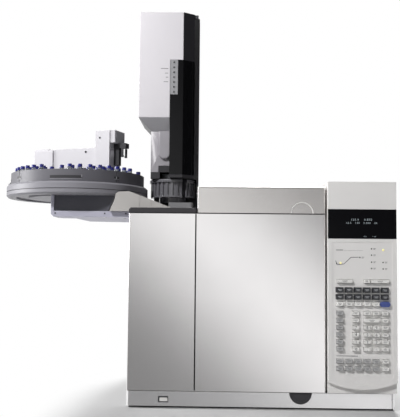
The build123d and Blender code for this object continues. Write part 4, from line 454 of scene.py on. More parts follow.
# %% Vials and caps
def make_vials():
    glass, caps = bmesh.new(), bmesh.new()
    for x, y in vial_places():
        body = VIAL_SHOULDER - VIAL_FOOT
        add_disc(glass, (x, y, VIAL_FOOT + body / 2), 5.8, body, "up", 12)
        neck = CAP_FOOT - VIAL_SHOULDER
        add_disc(glass, (x, y, VIAL_SHOULDER + neck / 2), 5.8, neck, "up", 12, tip=4.4)
        height = CAP_TOP - CAP_FOOT
        verts = add_disc(caps, (x, y, CAP_FOOT + height / 2), 5.6, height, "up", 12, tip=5.2)
        top = max(faces_of(verts), key=lambda face: face.calc_center_median().z)
        bmesh.ops.inset_region(caps, faces=[top], thickness=0.0016)
        bmesh.ops.translate(caps, verts=top.verts, vec=(0, 0, -0.0008))
        top.material_index = 1
    hand_over("vial_glass", glass, [FINISHES["vial_glass"]], "cabinet", ("vials",))
    hand_over("vial_caps", caps, [FINISHES["cap_navy"], FINISHES["cap_disc"]], "cabinet")


make_vials()
print("vials", len(list(vial_places())))

# %% [markdown]
# ## Racks and tray edge
# The racks' outer wall carries finger slots, drawn as dark bands of painted shade, with a bright
# lower lip, and a small locating lug stands on the tray's left edge. A dark band of painted shadow
# runs round the tray between its two rims.

# %% Rack slots, lug and rim shadow
RACK_RADIUS, TRAY_RADIUS = 160, 169.5
RACK_SLOTS = ((-141, -134, 500, 505.5), (-103, -77, 496.5, 503.5), (-49.5, -44.5, 500, 505),
              (-165, -158, 498, 504))  # start and end in degrees, foot and top
CATCH_ANGLES = (-77, -47.1)
LUG_SHIFT = (-165, -12)


def make_tray_trim():
    shape = bmesh.new()
    for start, end, low, high in RACK_SLOTS:
        # Painted shade: dark bands for the finger slots, then a painted shadow line between the tray's two
        # rims.
        add_band(shape, TRAY_CENTRE, RACK_RADIUS, (low, high), 0.5, (start, end), 10)
    add_band(shape, TRAY_CENTRE, TRAY_RADIUS - 2.5, (472.9, 474.6), 0.8, (0, 360), 96)
    hand_over("tray_shadow_lines", shape, [FINISHES["dark_plastic"]], "cabinet")
    lips = bmesh.new()
    for start, end, low, high in RACK_SLOTS:
        add_band(lips, TRAY_CENTRE, RACK_RADIUS + 0.2, (low - 1.4, low), 0.9, (start, end), 10)
    for angle in CATCH_ANGLES:
        a = math.radians(angle)
        x, y = TRAY_CENTRE[0] + RACK_RADIUS * math.cos(a), TRAY_CENTRE[1] + RACK_RADIUS * math.sin(a)
        add_block(lips, (x - 1.2, y - 1.2, 499), (x + 1.2, y + 1.2, 505), soft=0.4)
    hand_over("rack_lips", lips, [FINISHES["tray_plastic"]], "cabinet")
    lug = bmesh.new()
    x, y = TRAY_CENTRE[0] + LUG_SHIFT[0], TRAY_CENTRE[1] + LUG_SHIFT[1]
    add_block(lug, (x - 2.5, y - 5, 490.2), (x + 7, y + 5, 497), soft=0.8)
    add_disc(lug, (x + 2, y, 498.4), 2.4, 3, "up", 12, soft=0.4, finish_index=1)
    hand_over("tray_lug", lug, [FINISHES["tray_plastic"], FINISHES["dark_plastic"]], "cabinet")


make_tray_trim()
print("tray trim ready")

# %% [markdown]
# ## Screws
# A screw head is a low tapered disc with a round socket sunk in it, the socket's floor painted
# dark as shade. The gantry, its saddle and the carrier plate under the tray are held by them.

# %% Screws
GANTRY_TURN = math.radians(-19)
PLATE_FRONT_Y, PLATE_UNDER_Z = 46.5, 411.6


def add_screw(shape, centre, radius, towards="front"):
    verts = add_disc(shape, centre, radius, 1.6, towards, 12, tip=radius * 0.78)
    outward = {"front": Vector((0, -1, 0)), "down": Vector((0, 0, -1))}[towards]
    head = max(faces_of(verts), key=lambda face: face.calc_center_median().dot(outward))
    bmesh.ops.inset_region(shape, faces=[head], thickness=radius * 0.0003)
    bmesh.ops.translate(shape, verts=head.verts, vec=outward * -0.0009)
    # The sunk socket takes the dark finish: painted shade in the recess.
    head.material_index = 1


def on_gantry(along, across, z):
    """A place on the turning bar as millimetres on the cabinet."""
    c, s = math.cos(GANTRY_TURN), math.sin(GANTRY_TURN)
    return (TRAY_CENTRE[0] + along * c - across * s, TRAY_CENTRE[1] + along * s + across * c, z)


def make_screws():
    metal = [FINISHES["rod_steel"], FINISHES["dark_plastic"]]
    bar, saddle, plate = bmesh.new(), bmesh.new(), bmesh.new()
    turned = ((bar, on_gantry(32, -24.4, 574), 3.0), (saddle, on_gantry(72, -29.8, 606), 3.2))
    for shape, place, radius in turned:
        add_screw(shape, place, radius)
        bmesh.ops.rotate(shape, verts=shape.verts, cent=mm(*place),
                         matrix=Matrix.Rotation(GANTRY_TURN, 3, "Z"))
    for x, z in ((-173, 420), (-12, 420), (-60, 420)):
        add_screw(plate, (x, PLATE_FRONT_Y, z), 2.2)
    for x, y in ((-170, 60), (-60, 60), (-20, 90)):
        add_screw(plate, (x, y, PLATE_UNDER_Z), 3.0, "down")
    hand_over("bar_screw", bar, [FINISHES["dark_plastic"]] * 2, "gantry")
    hand_over("saddle_screw", saddle, metal, "gripper_head")
    hand_over("plate_screws", plate, metal, "cabinet")


make_screws()
print("screws ready")

# %% [markdown]
# ## Lines on the doors
# The door's face is one sheet with a sunk line a quarter of the way across. A black strip in the
# line is painted shade at the bottom of the groove, a thin silver arc rims the thumb recess of the
# cover, and the rocker of the power switch has a pale cap in a black surround.

# %% Door line, thumb rim and switch
def make_front_trim():
    line = bmesh.new()
    # Painted shade: a black strip at the bottom of the door's groove.
    add_block(line, (147.1, 2.9, 33.6), (149.9, 4.3, 417.4), soft=0.2)
    hand_over("door_groove_shade", line, [FINISHES["shade_black"]], "oven_door")
    rim = bmesh.new()
    centre = mm(382, 1.6, 420.8)
    ring = bmesh.ops.create_circle(rim, segments=8, radius=0.0008,
                                   matrix=Matrix.Translation(centre + Vector((0.0238, 0, 0))))["verts"]
    bmesh.ops.spin(rim, geom=ring + edges_of(ring), cent=centre, axis=(0, -1, 0), steps=28,
                   angle=math.radians(180), use_merge=False)
    hand_over("thumb_rim", rim, [FINISHES["key_light"]], "detector_cover")
    rocker = bmesh.new()
    add_block(rocker, (73.5, -0.9, 10.5), (91, 0.8, 18.2), soft=0.5)
    add_block(rocker, (73.5, -1.1, 18.4), (91, 0.6, 20.4), soft=0.3, finish_index=1)
    hand_over("rocker_cap", rocker, [FINISHES["cabinet_plastic"], FINISHES["dark_plastic"]], "power_switch")


make_front_trim()
print("front trim ready")

# %% [markdown]
# ## Marks on the keypad
# The marks stay generic: a temperature profile drawn as a ramp, round lamps of which two are lit,
# bare bars where the real panel prints words, and figures only where a key pad has them anyway.

# %% Lamps and bars
FIELD_Y = -11.3
LAMPS_OFF = ((455.3, 311.8), (505.4, 325.1), (530.6, 344.1), (530.6, 330.3), (530.6, 315.2), (530.6, 301.5),
             (555.4, 314.8), (555.4, 300.8))
LAMPS_LIT = ((463.6, 312.7), (555.8, 341.5))
RAMP = ((453, 318), (456, 309), (471, 311), (486, 325.2), (503, 325.6))


def add_bar(shape, start, end, y, width, finish_index=0):
    """A printed line between two places on an upright face."""
    (x0, z0), (x1, z1) = start, end
    length, angle = math.hypot(x1 - x0, z1 - z0), math.atan2(z1 - z0, x1 - x0)
    x, z = (x0 + x1) / 2, (z0 + z1) / 2
    low, high = (x - length / 2, y - 0.12, z - width / 2), (x + length / 2, y + 0.12, z + width / 2)
    add_block(shape, low, high, 0.05, finish_index, Matrix.Rotation(-angle, 4, "Y"))


def make_keypad_marks():
    marks, lamps = bmesh.new(), bmesh.new()
    for start, end in zip(RAMP, RAMP[1:]):
        add_bar(marks, start, end, FIELD_Y, 1.3)
    add_bar(marks, (454, 341), (469, 341), FIELD_Y, 1.5)
    add_bar(marks, (470, 340.2), (512, 340.2), FIELD_Y, 0.3)
    add_bar(marks, (454.2, 113.5), (500, 113.5), FIELD_Y, 1.4)
    for x, z in LAMPS_OFF:
        add_bar(marks, (x + 4, z + 0.8), (x + 9, z + 0.8), FIELD_Y, 0.9)
        add_bar(marks, (x + 4, z - 1.2), (x + 8, z - 1.2), FIELD_Y, 0.7)
        add_disc(lamps, (x, FIELD_Y - 0.1, z), 1.7, 1.0, sides=12, tip=1.2)
    for x, z in LAMPS_LIT:
        add_disc(lamps, (x, FIELD_Y - 0.1, z), 2.6, 1.0, sides=12, tip=1.8, finish_index=1)
    hand_over("keypad_marks", marks, [FINISHES["print_grey"]], "cabinet")
    hand_over("keypad_lamps", lamps, [FINISHES["lamp_off"], FINISHES["lamp_lit"]], "cabinet")


# %% Figures on the display and the keys
DISPLAY_Y = -12.68
DISPLAY_SPACING = 1.3
DISPLAY_ROWS = (("display_row_upper", "125.0    0.850", 509, 407, 4.4),
                ("display_row_lower", "12.5   150   3.000   24", 509, 399.8, 4.0),
                ("display_row_foot", "0.0        1.00", 527, 370.6, 2.6))  # x, z, height


def add_figures(name, text, place, height, finish, body, spacing=1.0):
    """Plain figures as a thin mesh that faces the front, centred on a place."""
    curve = bpy.data.curves.new(name, "FONT")
    curve.body = text
    curve.size = height * 0.00139
    curve.align_x, curve.align_y = "CENTER", "CENTER"
    curve.space_character = spacing
    curve.extrude = 0.00006
    curve.resolution_u = 2
    writing = bpy.data.objects.new(name + "_curve", curve)
    bpy.context.scene.collection.objects.link(writing)
    bpy.context.view_layer.update()
    mesh = bpy.data.meshes.new_from_object(writing.evaluated_get(bpy.context.evaluated_depsgraph_get()))
    bpy.data.objects.remove(writing)
    mesh.name = name
    shape = bmesh.new()
    shape.from_mesh(mesh)
    bpy.data.meshes.remove(mesh)
    move = Matrix.Translation(mm(*place)) @ Matrix.Rotation(math.radians(90), 4, "X")
    bmesh.ops.transform(shape, matrix=move, verts=shape.verts)
    hand_over(name, shape, [finish], body)


make_keypad_marks()
for name, text, x, z, height in DISPLAY_ROWS:
    add_figures(name, text, (x, DISPLAY_Y, z), height, FINISHES["figure_glow"], "cabinet",
                DISPLAY_SPACING)
print("marks ready")

# %% [markdown]
# ## Keys
# Each key is a tapered block whose face is dished by a fraction of a millimetre, so its rim catches
# the light. The figure pad carries its ten figures; the other keys carry one or two short bars
# where words would be. Every group rides its own body, so the keys still press.

# %% Key shapes
KEY_FIRST_X, KEY_PITCH = 461.5, 19.4
KEY_FACE_Y, KEY_ROOT_Y = -17.0, -6.8
KEY_DISH, KEY_LEAN, KEY_RIM = 0.35, 1.1, 0.8
KEY_SIZE = (15, 9.6)
TOP_ROW_Z, TOP_HEIGHT = 273.6, 8.6
DARK_TOP_Z, DARK_ROW, DARK_SIZE = 254.9, 15.1, (17, 11)
LIGHT_ROW_Z = 224.6
BLOCK_SHIFT, BLOCK_TOP_Z, BLOCK_ROW = 34, 205, 15.3
LOW_TOP_Z, LOW_ROW = 102.6, 15.8


def column_x(column):
    return KEY_FIRST_X + column * KEY_PITCH


def block_columns():
    return [column_x(0) + BLOCK_SHIFT] + [column_x(column) for column in (3, 4, 5)]


def block_row_z(row):
    return BLOCK_TOP_Z - row * BLOCK_ROW


def add_key(shape, x, z, width, height, finish_index=0):
    """One tapered key with a dished face."""
    a = mm(x - width / 2, KEY_FACE_Y, z - height / 2)
    b = mm(x + width / 2, KEY_ROOT_Y, z + height / 2)
    seat = Matrix.Translation((a + b) / 2) @ Matrix.Diagonal((*(b - a), 1))
    verts = bmesh.ops.create_cube(shape, size=1, matrix=seat)["verts"]
    face = min(faces_of(verts), key=lambda f: f.calc_center_median().y)
    middle = face.calc_center_median()
    for vert in face.verts:
        vert.co.x += math.copysign(KEY_LEAN * 0.001, middle.x - vert.co.x)
        vert.co.z += math.copysign(KEY_LEAN * 0.001, middle.z - vert.co.z)
    bmesh.ops.inset_region(shape, faces=[face], thickness=KEY_RIM * 0.001)
    bmesh.ops.translate(shape, verts=face.verts, vec=(0, KEY_DISH * 0.001, 0))
    for side in faces_of(verts) + [face]:
        side.material_index = finish_index


def add_legend(shape, x, z, width):
    y = KEY_FACE_Y + KEY_DISH
    add_bar(shape, (x - width / 2, z + 0.9), (x + width / 2, z + 0.9), y, 0.9, 1)
    add_bar(shape, (x - width / 3, z - 1.3), (x + width / 3, z - 1.3), y, 0.8, 1)


def key_groups():
    """Node name to its keys, each as x, z, width, height."""
    groups = {
        "start_key": [(472, TOP_ROW_Z, 34, TOP_HEIGHT)],
        "stop_key": [(519.5, TOP_ROW_Z, 13, TOP_HEIGHT)],
        "prep_key": [(547.8, TOP_ROW_Z, 40.4, TOP_HEIGHT)],
        "dark_keys": [(column_x(c), DARK_TOP_Z - row * DARK_ROW, *DARK_SIZE)
                      for row in range(2) for c in range(6)],
        "light_keys": [(column_x(c), LIGHT_ROW_Z, *KEY_SIZE) for c in range(5)],
    }
    numbers = []
    for row in range(6):
        z = block_row_z(row)
        numbers.append((column_x(0), z, *KEY_SIZE))
        columns = block_columns()
        if row == 1:
            wide = columns[2] - columns[1] + KEY_SIZE[0]
            numbers += [(columns[0], z, *KEY_SIZE), ((columns[1] + columns[2]) / 2, z, wide, KEY_SIZE[1]),
                        (columns[3], z, *KEY_SIZE)]
        else:
            numbers += [(x, z, *KEY_SIZE) for x in columns]
    numbers += [(column_x(c), LOW_TOP_Z - row * LOW_ROW, *KEY_SIZE) for row in range(2) for c in range(6)]
    groups["number_keys"] = numbers
    return groups


FIGURE_ROWS = ("789", "456", "123", "0.-")
FIGURE_FIRST_ROW = 2


def is_figure(x, z):
    rows = [block_row_z(FIGURE_FIRST_ROW + row) for row in range(len(FIGURE_ROWS))]
    return x in block_columns()[:3] and any(abs(z - row) < 0.1 for row in rows)


LEFT_COLUMN_X, BLOCK_RIGHT_X = 470, 545     # these keys are a darker grey
LOW_ROWS_Z = 105


def make_keys():
    finishes = {"start_key": "key_grey", "stop_key": "key_grey", "prep_key": "key_grey",
                "dark_keys": "key_dark", "light_keys": "key_light", "number_keys": "key_grey"}
    for node, keys in key_groups().items():
        shape = bmesh.new()
        for x, z, width, height in keys:
            darker = node == "number_keys" and x < BLOCK_RIGHT_X and (z < LOW_ROWS_Z or x < LEFT_COLUMN_X)
            add_key(shape, x, z, width, height, 2 if darker else 0)
            if not (node == "number_keys" and is_figure(x, z)):
                add_legend(shape, x, z, min(width * 0.5, 12))
        print_finish = FINISHES["print_pale" if node == "dark_keys" else "print_grey"]
        looks = [FINISHES[finishes[node]], print_finish, FINISHES["key_mid"]]
        hand_over(node + "_dished", shape, looks, node, (node,))
    for row, figures in enumerate(FIGURE_ROWS):
        for x, figure in zip(block_columns(), figures):
            place = (x, KEY_FACE_Y + KEY_DISH - 0.08, block_row_z(row + FIGURE_FIRST_ROW))
            add_figures("figure_%d_%d" % (row, round(x)), figure, place, 6.4, FINISHES["print_grey"],
                        "number_keys")


make_keys()
print("keys ready")

# %% [markdown]
# ## Tower details
# The status strip carries seven dark lamps with short bars beside four of them. A small latch
# sits at the head's right corner.

# %% Tower lamps, bars and latch
STRIP_X, STRIP_FACE_Y, STRIP_FOOT_Z = 88.75, 130.2, 713
LAMP_COUNT, LAMP_PITCH = 7, 12
BAR_END_X, BAR_Y = 75, 129.95
TOWER_BARS = ((775.6, 18), (764.4, 8), (754.5, 6), (743.3, 11))  # height, length


def make_tower_trim():
    lamps, bars, latch = bmesh.new(), bmesh.new(), bmesh.new()
    for lamp in range(LAMP_COUNT):
        z = STRIP_FOOT_Z + LAMP_PITCH * (lamp + 0.5)
        add_disc(lamps, (STRIP_X, STRIP_FACE_Y + 0.4, z), 3.4, 0.8, sides=16, tip=3.0)
        add_disc(lamps, (STRIP_X, STRIP_FACE_Y, z), 2.5, 1.2, sides=16, tip=1.6, finish_index=1)
    for z, wide in TOWER_BARS:
        add_bar(bars, (BAR_END_X - wide, z), (BAR_END_X, z), BAR_Y, 1.3)
    add_block(latch, (139, 152, 905), (146, 158, 913.6), soft=0.8)
    hand_over("tower_lamps", lamps, [FINISHES["strip_grey"], FINISHES["lamp_off"]], "cabinet")
    hand_over("tower_bars", bars, [FINISHES["print_grey"]], "cabinet")
    hand_over("tower_latch", latch, [FINISHES["dark_plastic"]], "cabinet")


make_tower_trim()
print("tower trim ready")

# %% [markdown]
# ## Softened mouldings
# Real mouldings have small rounded edges, and those edges are what catches the light. The frame's
# crisp pieces that stand nearest the lamps are shown as copies with their hard edges rounded.

# %% Softened pieces
NECK_FRONT_Y = 150
SOFT_EDGES = (("tower_neck", 1.6, "neck_plastic"), ("tower_face", 0.8, "tower_silver"),
              ("gantry_arm", 0.8, "gantry_plastic"), ("bracket_arm", 0.8, "bracket_paint"),
              ("turret", 0.4, "turret_plastic"),
              ("carrier_plate", 0.6, "plate_paint"), ("top_deck", 0.8, "charcoal_metal"))
for node, width, slot in SOFT_EDGES:
    soften(node, width, slot, node + "_soft", mm(0, NECK_FRONT_Y, 0).y if node == "tower_neck" else None)
print("softened", len(SOFT_EDGES))

# %% [markdown]
# ## The pad on the neck
# The pad stands forward of the neck's flat front. Its sides are straight and its foot is round,
# so it reads as a U, and a full soft rim runs round all but its top edge.

# %% Neck pad
PAD_LOW, PAD_HIGH = (52.5, 142, 557.5), (82, 150.6, 625.6)
PAD_FOOT_RADIUS, PAD_RIM_RADIUS = 14.7, 4.2


def make_neck_pad():
    """The raised pad on the neck: straight sides, a round foot and a full, soft rim."""
    shape = bmesh.new()
    low, high = mm(*PAD_LOW), mm(*PAD_HIGH)
    bmesh.ops.create_cube(shape, size=1)
    bmesh.ops.scale(shape, vec=high - low, verts=shape.verts)
    bmesh.ops.translate(shape, vec=(low + high) / 2, verts=shape.verts)
    foot = [edge for edge in shape.edges if all(vert.co.z < low.z + 0.001 for vert in edge.verts)
            and abs(edge.verts[0].co.y - edge.verts[1].co.y) > 0.001]
    bmesh.ops.bevel(shape, geom=foot, affect="EDGES", offset=PAD_FOOT_RADIUS * 0.001, segments=9, profile=0.5)
    rim = [edge for edge in shape.edges if all(vert.co.y < low.y + 0.0001 for vert in edge.verts)
           and not all(vert.co.z > high.z - 0.0001 for vert in edge.verts)]
    bmesh.ops.bevel(shape, geom=rim, affect="EDGES", offset=PAD_RIM_RADIUS * 0.001, segments=4, profile=0.5)
    hand_over("neck_pad", shape, [FINISHES["neck_plastic"]], "cabinet")


make_neck_pad()
print("neck pad ready")

# %% [markdown]
# ## Shoulder, side strip and gripper head
# The silver front runs on down the tower's sloped shoulder to the neck, in a darker copy of the
# silver that is painted shade for the downward face. A pale strip on the tower's right side is a
# painted highlight, a dark strip under the base is a painted contact shadow, and the turret's hub
# is pale. The gripper's saddle carries a short, wide head.

# %% Shoulder and side strip
SHOULDER_TOP, SHOULDER_FOOT = (130, 657), (150, 626)    # y, z
SHOULDER_SPAN = (5, 79.2)
SHOULDER_CUT = (-31, 0, -29)    # the direction that the cut at its left end faces
SIDE_FRONT, SIDE_REAR = (148.5, 187), (146, 285)        # x, y
SIDE_Z = (433, 905)
TURRET_AXIS, HUB_Z, HUB_RADIUS = (85.5, 200), 505, 28.5


def make_shoulder():
    # The shoulder takes the darker silver, painted shade for its downward face.
    shape = bmesh.new()
    (top_y, top_z), (foot_y, foot_z) = SHOULDER_TOP, SHOULDER_FOOT
    rise, run = top_z - foot_z, foot_y - top_y
    slope = math.hypot(rise, run)
    y, z = (top_y + foot_y) / 2, (top_z + foot_z) / 2
    low, high = (SHOULDER_SPAN[0], y - 0.6, z - slope / 2), (SHOULDER_SPAN[1], y + 0.6, z + slope / 2)
    add_block(shape, low, high, 0.3, turn=Matrix.Rotation(math.atan2(run, rise), 4, "X"))
    cutter = mm(SHOULDER_SPAN[0], top_y, top_z)
    bmesh.ops.bisect_plane(shape, geom=shape.verts[:] + shape.edges[:] + shape.faces[:], plane_co=cutter,
                           plane_no=SHOULDER_CUT, clear_outer=True)
    holes = [edge for edge in shape.edges if edge.is_boundary]
    bmesh.ops.holes_fill(shape, edges=holes)
    hand_over("tower_shoulder", shape, [FINISHES["shoulder_silver_shaded"]], "cabinet")


def make_side_highlight():
    # The strip's pale colour is a painted highlight on the tower's right side.
    shape = bmesh.new()
    x, y = (SIDE_FRONT[0] + SIDE_REAR[0]) / 2, (SIDE_FRONT[1] + SIDE_REAR[1]) / 2
    inward, back = SIDE_FRONT[0] - SIDE_REAR[0], SIDE_REAR[1] - SIDE_FRONT[1]
    half = math.hypot(back, inward) / 2 - 1
    add_block(shape, (x - 0.3, y - half, SIDE_Z[0]), (x + 0.3, y + half, SIDE_Z[1]), 0.15,
              turn=Matrix.Rotation(math.atan2(inward, back), 4, "Z"))
    hand_over("tower_painted_highlight", shape, [FINISHES["side_highlight_paint"]], "cabinet")


def colour_hub():
    """The turret's hub is pale, and shows in the gap under the tower."""
    mesh = bpy.data.objects["turret_soft"].data
    mesh.materials.append(FINISHES["collar_grey"])
    middle = mm(*TURRET_AXIS, HUB_Z)
    for face in mesh.polygons:
        if face.center.z > middle.z and (face.center.xy - middle.xy).length < HUB_RADIUS * 0.001:
            face.material_index = 1


def make_base_contact_shadow():
    """A dark strip behind the base's lower edge, painted as the contact shadow between base and bench."""
    shape = bmesh.new()
    # Painted shadow: a black strip where the bench gap under the base is in shade.
    add_block(shape, (6, 3, -3.4), (578, 9, 0.3), 0.3)
    hand_over("base_contact_shadow", shape, [FINISHES["shade_black"]], "cabinet")


make_shoulder()
make_side_highlight()
make_base_contact_shadow()
colour_hub()
print("shoulder and strip ready")

# %% Gripper head
HEAD_WALL, HEAD_HALF = 5, 24.3
HEAD_FOOT_Z, HEAD_ROOF_Z, HEAD_TOP_Z = 535, 583.3, 623
HEAD_START, HEAD_END = 60, 98
NOSE_ALONG, NOSE_Z, NOSE_LENGTH, NOSE_HEIGHT = 104.5, 608.5, 12.8, 31
END_PLATE_ALONG = 111.3


def make_gripper_head():
    """The frame's saddle with a short, wide head in place of the long one."""
    shape = bmesh.new()
    turn = Matrix.Rotation(GANTRY_TURN, 4, "Z")

    def place(along, across, z, size, soft):
        x, y, height = on_gantry(along, across, z)
        a, b, c = (value / 2 for value in size)
        add_block(shape, (x - a, y - b, height - c), (x + a, y + b, height + c), soft, turn=turn)

    middle, length = (HEAD_START + HEAD_END) / 2, HEAD_END - HEAD_START
    wall_height, roof_height = HEAD_TOP_Z - HEAD_FOOT_Z, HEAD_TOP_Z - HEAD_ROOF_Z
    for side in (-1, 1):
        place(middle, side * (HEAD_HALF + HEAD_WALL / 2), (HEAD_FOOT_Z + HEAD_TOP_Z) / 2,
              (length, HEAD_WALL, wall_height), 0.7)
    place(middle, 0, (HEAD_ROOF_Z + HEAD_TOP_Z) / 2, (length - 0.2, 2 * HEAD_HALF + 0.2, roof_height), 0.7)
    place(NOSE_ALONG, 0, NOSE_Z, (NOSE_LENGTH, 2 * HEAD_HALF + 4, NOSE_HEIGHT), 1.2)
    hand_over("gripper_head_short", shape, [FINISHES["gantry_plastic"]], "gripper_head",
              ("gripper_head",))
    cap = bmesh.new()
    x, y, z = on_gantry(END_PLATE_ALONG, 0, NOSE_Z)
    add_block(cap, (x - 0.5, y - 23, z - 13), (x + 0.5, y + 23, z + 13), 0.3, turn=turn)
    hand_over("gripper_end_plate", cap, [FINISHES["collar_grey"]], "gripper_head")


make_gripper_head()
print("gripper head ready")

# %% [markdown]
# ## Floor, light and room
# The instrument stands on a white sweep, which goes over to plain white away from it. A small key
# lamp at the upper left draws clear shadows, a wide soft lamp at the left lifts the tray and the
# neck, and a lamp behind throws the shadow forward. The room is white to the camera and to
# mirrors. A reflection card in front of the cabinet, seen only by glossy surfaces, carries one
# diagonal band of light: that is what draws the broad gradient on the silver door. A dark flag on
# the right keeps the tower's black side black.

# %% Floor
FLOOR_HALF, FLOOR_GREY, FLOOR_ROUGHNESS = 2.2, 0.4, 0.6
FLOOR_LIFT = 0.02
FLOOR_REAR = 0.9
FADE_STRETCH = (1, 0.6, 1)
FADE_SHIFT = (-0.27, 0.15, 0)
FADE_SPAN = (0.46, 0.6)


def fade_to_white(nodes, links, shader, path):
    """The floor goes over to plain white away from the object, so that no horizon shows."""
    place = nodes.new("ShaderNodeTexCoord")
    offset = nodes.new("ShaderNodeVectorMath")
    offset.operation = "MULTIPLY_ADD"
    offset.inputs[1].default_value = FADE_STRETCH
    offset.inputs[2].default_value = FADE_SHIFT
    length = nodes.new("ShaderNodeVectorMath")
    length.operation = "LENGTH"
    span = nodes.new("ShaderNodeMapRange")
    span.interpolation_type = "SMOOTHSTEP"
    span.inputs["From Min"].default_value, span.inputs["From Max"].default_value = FADE_SPAN
    seen = nodes.new("ShaderNodeMath")
    seen.operation = "MULTIPLY"
    white = nodes.new("ShaderNodeEmission")
    mix = nodes.new("ShaderNodeMixShader")
    links.new(place.outputs["Object"], offset.inputs[0])
    links.new(offset.outputs["Vector"], length.inputs[0])
    links.new(length.outputs["Value"], span.inputs["Value"])
    links.new(span.outputs["Result"], seen.inputs[0])
    links.new(path.outputs["Is Camera Ray"], seen.inputs[1])
    links.new(seen.outputs[0], mix.inputs["Fac"])
    links.new(shader.outputs[0], mix.inputs[1])
    links.new(white.outputs[0], mix.inputs[2])
    links.new(mix.outputs[0], nodes["Material Output"].inputs["Surface"])


def make_floor():
    mesh = bpy.data.meshes.new("floor")
    shape = bmesh.new()
    bmesh.ops.create_grid(shape, x_segments=1, y_segments=1, size=FLOOR_HALF)
    bmesh.ops.translate(shape, verts=shape.verts, vec=(0, FLOOR_REAR - FLOOR_HALF, 0))
    shape.to_mesh(mesh)
    shape.free()
    floor = bpy.data.objects.new("floor", mesh)
    bpy.context.scene.collection.objects.link(floor)
    material = bpy.data.materials.new("floor_white")
    material.use_nodes = True
    nodes, links = material.node_tree.nodes, material.node_tree.links
    shader = nodes["Principled BSDF"]
    shader.inputs["Base Color"].default_value = (FLOOR_GREY, FLOOR_GREY, FLOOR_GREY, 1)
    shader.inputs["Roughness"].default_value = FLOOR_ROUGHNESS
    shader.inputs["Emission Color"].default_value = (1, 1, 1, 1)
    path = nodes.new("ShaderNodeLightPath")
    lift = nodes.new("ShaderNodeMath")
    lift.operation = "MULTIPLY"
    lift.inputs[1].default_value = FLOOR_LIFT
    links.new(path.outputs["Is Camera Ray"], lift.inputs[0])
    links.new(lift.outputs[0], shader.inputs["Emission Strength"])
    fade_to_white(nodes, links, shader, path)
    mesh.materials.append(material)
    floor.visible_glossy = False
    return floor


FLOOR = make_floor()
print("floor", FLOOR.name)

# %% World
ROOM_LIGHT = 0.18


def make_world():
    world = bpy.data.worlds.new("studio")
    bpy.context.scene.world = world
    world.use_nodes = True
    nodes, links = world.node_tree.nodes, world.node_tree.links
    nodes.clear()
    seen = nodes.new("ShaderNodeBackground")
    seen.inputs["Color"].default_value = (1, 1, 1, 1)
    light = nodes.new("ShaderNodeBackground")
    light.inputs["Color"].default_value = (0.95, 0.96, 1, 1)
    light.inputs["Strength"].default_value = ROOM_LIGHT
    path = nodes.new("ShaderNodeLightPath")
    either = nodes.new("ShaderNodeMath")
    either.operation = "MAXIMUM"
    any_way = nodes.new("ShaderNodeMath")
    any_way.operation = "MAXIMUM"
    mix = nodes.new("ShaderNodeMixShader")
    out = nodes.new("ShaderNodeOutputWorld")
    links.new(path.outputs["Is Camera Ray"], either.inputs[0])
    links.new(path.outputs["Is Glossy Ray"], either.inputs[1])
    links.new(either.outputs[0], any_way.inputs[0])
    links.new(path.outputs["Is Transmission Ray"], any_way.inputs[1])
    links.new(any_way.outputs[0], mix.inputs["Fac"])
    links.new(light.outputs[0], mix.inputs[1])
    links.new(seen.outputs[0], mix.inputs[2])
    links.new(mix.outputs[0], out.inputs["Surface"])


make_world()
print("world ready")

# %% Lamps
def soft_lamp(name, place, aim, size, power):
    data = bpy.data.lights.new(name, "AREA")
    data.shape = "DISK"
    data.size = size
    data.energy = power
    lamp = bpy.data.objects.new(name, data)
    lamp.location = place
    lamp.rotation_euler = (Vector(aim) - Vector(place)).to_track_quat("-Z", "Y").to_euler()
    bpy.context.scene.collection.objects.link(lamp)
    return lamp


LAMPS = [
    soft_lamp("key_lamp", (-1.5, -2.1, 2.3), (0, 0, 0.4), 0.4, 88),
    soft_lamp("left_softbox", (-3.0, -0.25, 0.9), (-0.3, 0, 0.5), 1.3, 60),
    soft_lamp("floor_lamp", (0.6, 2.4, 2.8), (0, -0.3, 0), 1.4, 190),
]
print("lamps", [(lamp.name, lamp.data.energy) for lamp in LAMPS])

# %% Reflection card
CARD_Y = -2.6
BAND_TURN = math.radians(45)
BAND_MIDDLE = 0.35
BAND_REACH = 0.65
BAND_LEVEL = 1.1
CARD_LEVEL = 0.2
CARD_SIZE, CARD_MIDDLE_Z = (3.2, 2.4), 1.2
FLAG_SIZE, FLAG_PLACE, FLAG_LEVEL = (3, 5), (2.6, 2.2, 2.9), 0.012


def stage_panel(name, size, turn_axis, place, material):
    """A square panel that only shiny surfaces can see."""
    mesh = bpy.data.meshes.new(name)
    shape = bmesh.new()
    bmesh.ops.create_grid(shape, x_segments=1, y_segments=1, size=1)
    bmesh.ops.scale(shape, verts=shape.verts, vec=(size[0], size[1], 1))
    bmesh.ops.rotate(shape, verts=shape.verts, matrix=Matrix.Rotation(math.radians(90), 3, turn_axis))
    bmesh.ops.translate(shape, verts=shape.verts, vec=place)
    shape.to_mesh(mesh)
    shape.free()
    panel = bpy.data.objects.new(name, mesh)
    bpy.context.scene.collection.objects.link(panel)
    panel.visible_camera = False
    panel.visible_diffuse = False
    panel.visible_transmission = False
    panel.visible_shadow = False
    mesh.materials.append(material)
    return panel


def glow_material(name, level):
    material = bpy.data.materials.new(name)
    material.use_nodes = True
    nodes, links = material.node_tree.nodes, material.node_tree.links
    nodes.clear()
    glow = nodes.new("ShaderNodeEmission")
    glow.inputs["Color"].default_value = (level, level, level, 1)
    out = nodes.new("ShaderNodeOutputMaterial")
    links.new(glow.outputs[0], out.inputs["Surface"])
    return material


